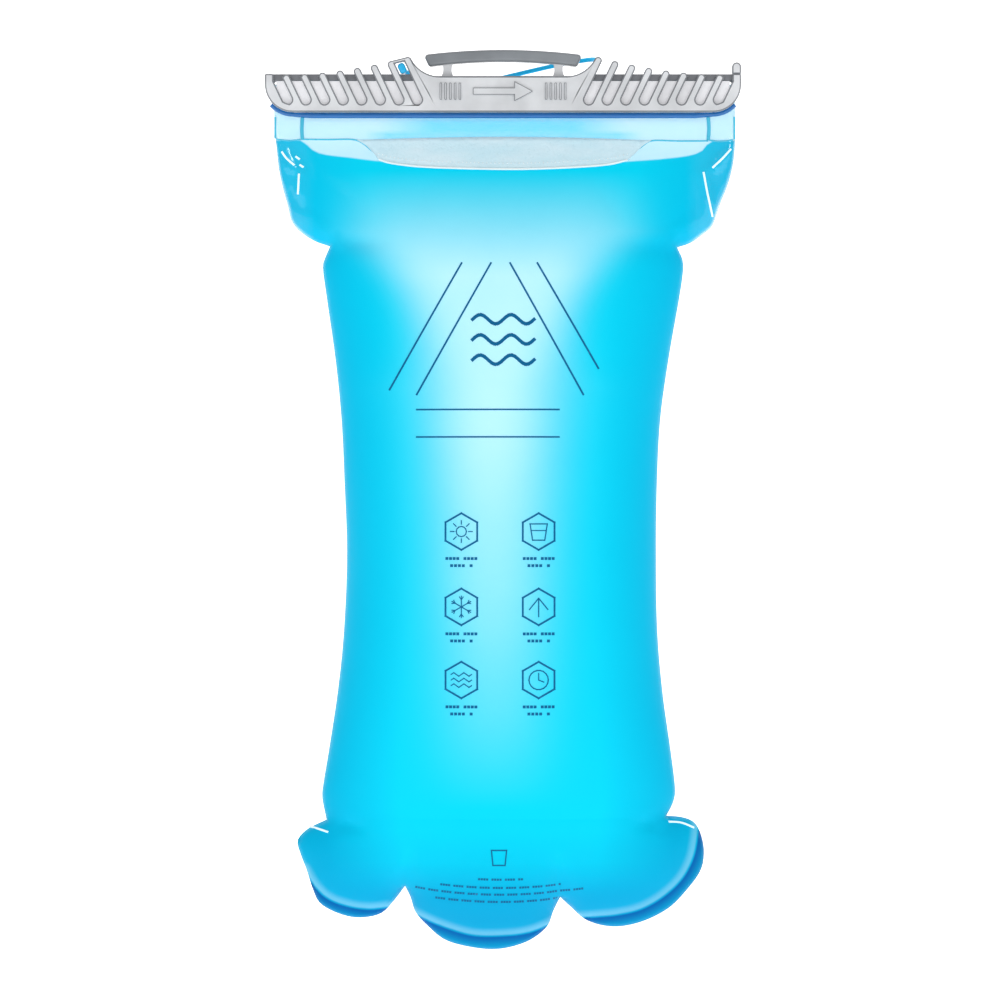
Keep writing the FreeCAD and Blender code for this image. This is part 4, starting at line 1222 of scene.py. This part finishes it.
def make_stage(context):
    """Pale floor and backdrop, soft lights and the camera."""
    look = context.scene.bladder_stage
    s = Shader("stage_white")
    darker = tuple(c * 0.995 for c in look.backdrop)
    white = s.set(Base_Color=s.mix(s.noise(0.6), tuple(look.backdrop), darker),
                  Roughness=0.9, Emission_Color=(1.0, 1.0, 1.0), Emission_Strength=0.72)
    floor, rear, turn, half = -look.floor_drop, 3.4, 0.9, 4.5
    profile = [(-3.6, floor), (rear - turn, floor)]
    profile += [(rear - turn + turn * math.sin(a), floor + turn - turn * math.cos(a))
                for a in np.linspace(0.1, math.pi / 2, 12)]
    profile += [(rear, 3.4)]
    vertices = [(x, y, z) for y, z in profile for x in (-half, half)]
    faces = [(2 * i, 2 * i + 1, 2 * i + 3, 2 * i + 2) for i in range(len(profile) - 1)]
    collect("stage_sheet", vertices, faces, white)
    middle = Vector((-0.0012, 0, -0.1752))
    for name, place, power, size in (
        ("key_light", (-0.8, -1.3, 1.0), 6.5 * look.lamps, 0.7),
        ("fill_light", (1.1, -1.4, 0.3), 1.6 * look.lamps, 1.0),
        ("glint_light", (-0.5, -1.1, 0.7), 1.0, 0.14),
        ("rim_light", (0.7, -0.9, 0.6), 1.0, 0.14),
        ("top_light", (0.0, -0.5, 1.4), 5.5 * look.lamps, 1.2),
        ("back_light", (0.3, 1.0, 0.9), 2.5 * look.lamps, 1.0),
    ):
        data = bpy.data.lights.new(name, "AREA")
        data.energy, data.size = power, size
        lamp = bpy.data.objects.new(name, data)
        lamp.location = place
        lamp.rotation_euler = (middle - Vector(place)).to_track_quat("-Z", "Y").to_euler()
        bpy.context.collection.objects.link(lamp)
    world = context.scene.world or bpy.data.worlds.new("studio")
    context.scene.world = world
    world.use_nodes = True
    world.node_tree.nodes["Background"].inputs[0].default_value = (1, 1, 1, 1)
    world.node_tree.nodes["Background"].inputs[1].default_value = look.studio
    context.scene.view_settings.view_transform = "Standard"
    data = bpy.data.cameras.new("camera")
    data.sensor_width = 36
    data.lens = data.sensor_width * look.distance / look.width
    data.clip_end = 20
    camera = bpy.data.objects.new("camera", data)
    camera.location = middle - Vector((0, look.distance, 0))
    camera.rotation_euler = (math.pi / 2, 0, 0)
    bpy.context.collection.objects.link(camera)
    context.scene.camera = camera


# --- Operators and panel ----------------------------------------------------
class BLADDER_OT_stage(bpy.types.Operator):
    """Set up the floor, the lights and the camera"""
    bl_idname = "bladder.stage"
    bl_label = "Stage"

    def execute(self, context):
        make_stage(context)
        return {"FINISHED"}


class BLADDER_OT_tether(bpy.types.Operator):
    """Make the tether"""
    bl_idname = "bladder.tether"
    bl_label = "Tether"

    def execute(self, context):
        make_tether(context)
        return {"FINISHED"}


class BLADDER_OT_film(bpy.types.Operator):
    """Make the bag's film"""
    bl_idname = "bladder.film"
    bl_label = "Film"

    def execute(self, context):
        make_film(context)
        return {"FINISHED"}


class BLADDER_OT_water(bpy.types.Operator):
    """Make the water in the bag"""
    bl_idname = "bladder.water"
    bl_label = "Water"

    def execute(self, context):
        make_water(context)
        return {"FINISHED"}


class BLADDER_OT_mouth_trim(bpy.types.Operator):
    """Make the piping and the weld ridges of the mouth"""
    bl_idname = "bladder.mouth_trim"
    bl_label = "Mouth trim"

    def execute(self, context):
        make_mouth_trim(context)
        return {"FINISHED"}


class BLADDER_OT_grip_patch(bpy.types.Operator):
    """Make the grip patch, its edge and its dots"""
    bl_idname = "bladder.grip_patch"
    bl_label = "Grip patch"

    def execute(self, context):
        make_patch(context)
        return {"FINISHED"}


class BLADDER_OT_print(bpy.types.Operator):
    """Print the rules, the waves and the care signs on the bag"""
    bl_idname = "bladder.print"
    bl_label = "Print"

    def execute(self, context):
        make_print(context)
        return {"FINISHED"}


class BLADDER_OT_clip(bpy.types.Operator):
    """Dress the clip and its hang bar"""
    bl_idname = "bladder.clip"
    bl_label = "Clip"

    def execute(self, context):
        make_clip(context)
        return {"FINISHED"}


class BLADDER_OT_clip_marks(bpy.types.Operator):
    """Make the raised marks on the clip"""
    bl_idname = "bladder.clip_marks"
    bl_label = "Clip marks"

    def execute(self, context):
        make_clip_marks(context)
        return {"FINISHED"}


class BLADDER_OT_port(bpy.types.Operator):
    """Dress the hose port, its latch and its valve"""
    bl_idname = "bladder.port"
    bl_label = "Hose port"

    def execute(self, context):
        make_port(context)
        return {"FINISHED"}


OPERATORS = [BLADDER_OT_stage, BLADDER_OT_tether, BLADDER_OT_film, BLADDER_OT_water, BLADDER_OT_mouth_trim,
             BLADDER_OT_grip_patch, BLADDER_OT_print, BLADDER_OT_clip, BLADDER_OT_clip_marks, BLADDER_OT_port]


class BLADDER_PT_parts(bpy.types.Panel):
    """The bladder's settings and pieces"""
    bl_idname = "BLADDER_PT_parts"
    bl_label = "Hydration Bladder"
    bl_space_type = "VIEW_3D"
    bl_region_type = "UI"
    bl_category = "Bladder"

    def draw(self, context):
        for name, kind in SETTINGS.items():
            box = self.layout.box()
            for key in kind.__annotations__:
                box.prop(getattr(context.scene, name), key)
        for operator in OPERATORS:
            self.layout.operator(operator.bl_idname)


def register():
    for kind in [*SETTINGS.values(), *OPERATORS, BLADDER_PT_parts]:
        bpy.utils.register_class(kind)
    for name, kind in SETTINGS.items():
        setattr(bpy.types.Scene, name, PointerProperty(type=kind))


def unregister():
    for name in SETTINGS:
        delattr(bpy.types.Scene, name)
    for kind in reversed([*SETTINGS.values(), *OPERATORS, BLADDER_PT_parts]):
        bpy.utils.unregister_class(kind)


def main():
    register()
    for operator in OPERATORS:
        group, name = operator.bl_idname.split(".")
        getattr(getattr(bpy.ops, group), name)()


if __name__ == "__main__":
    main()
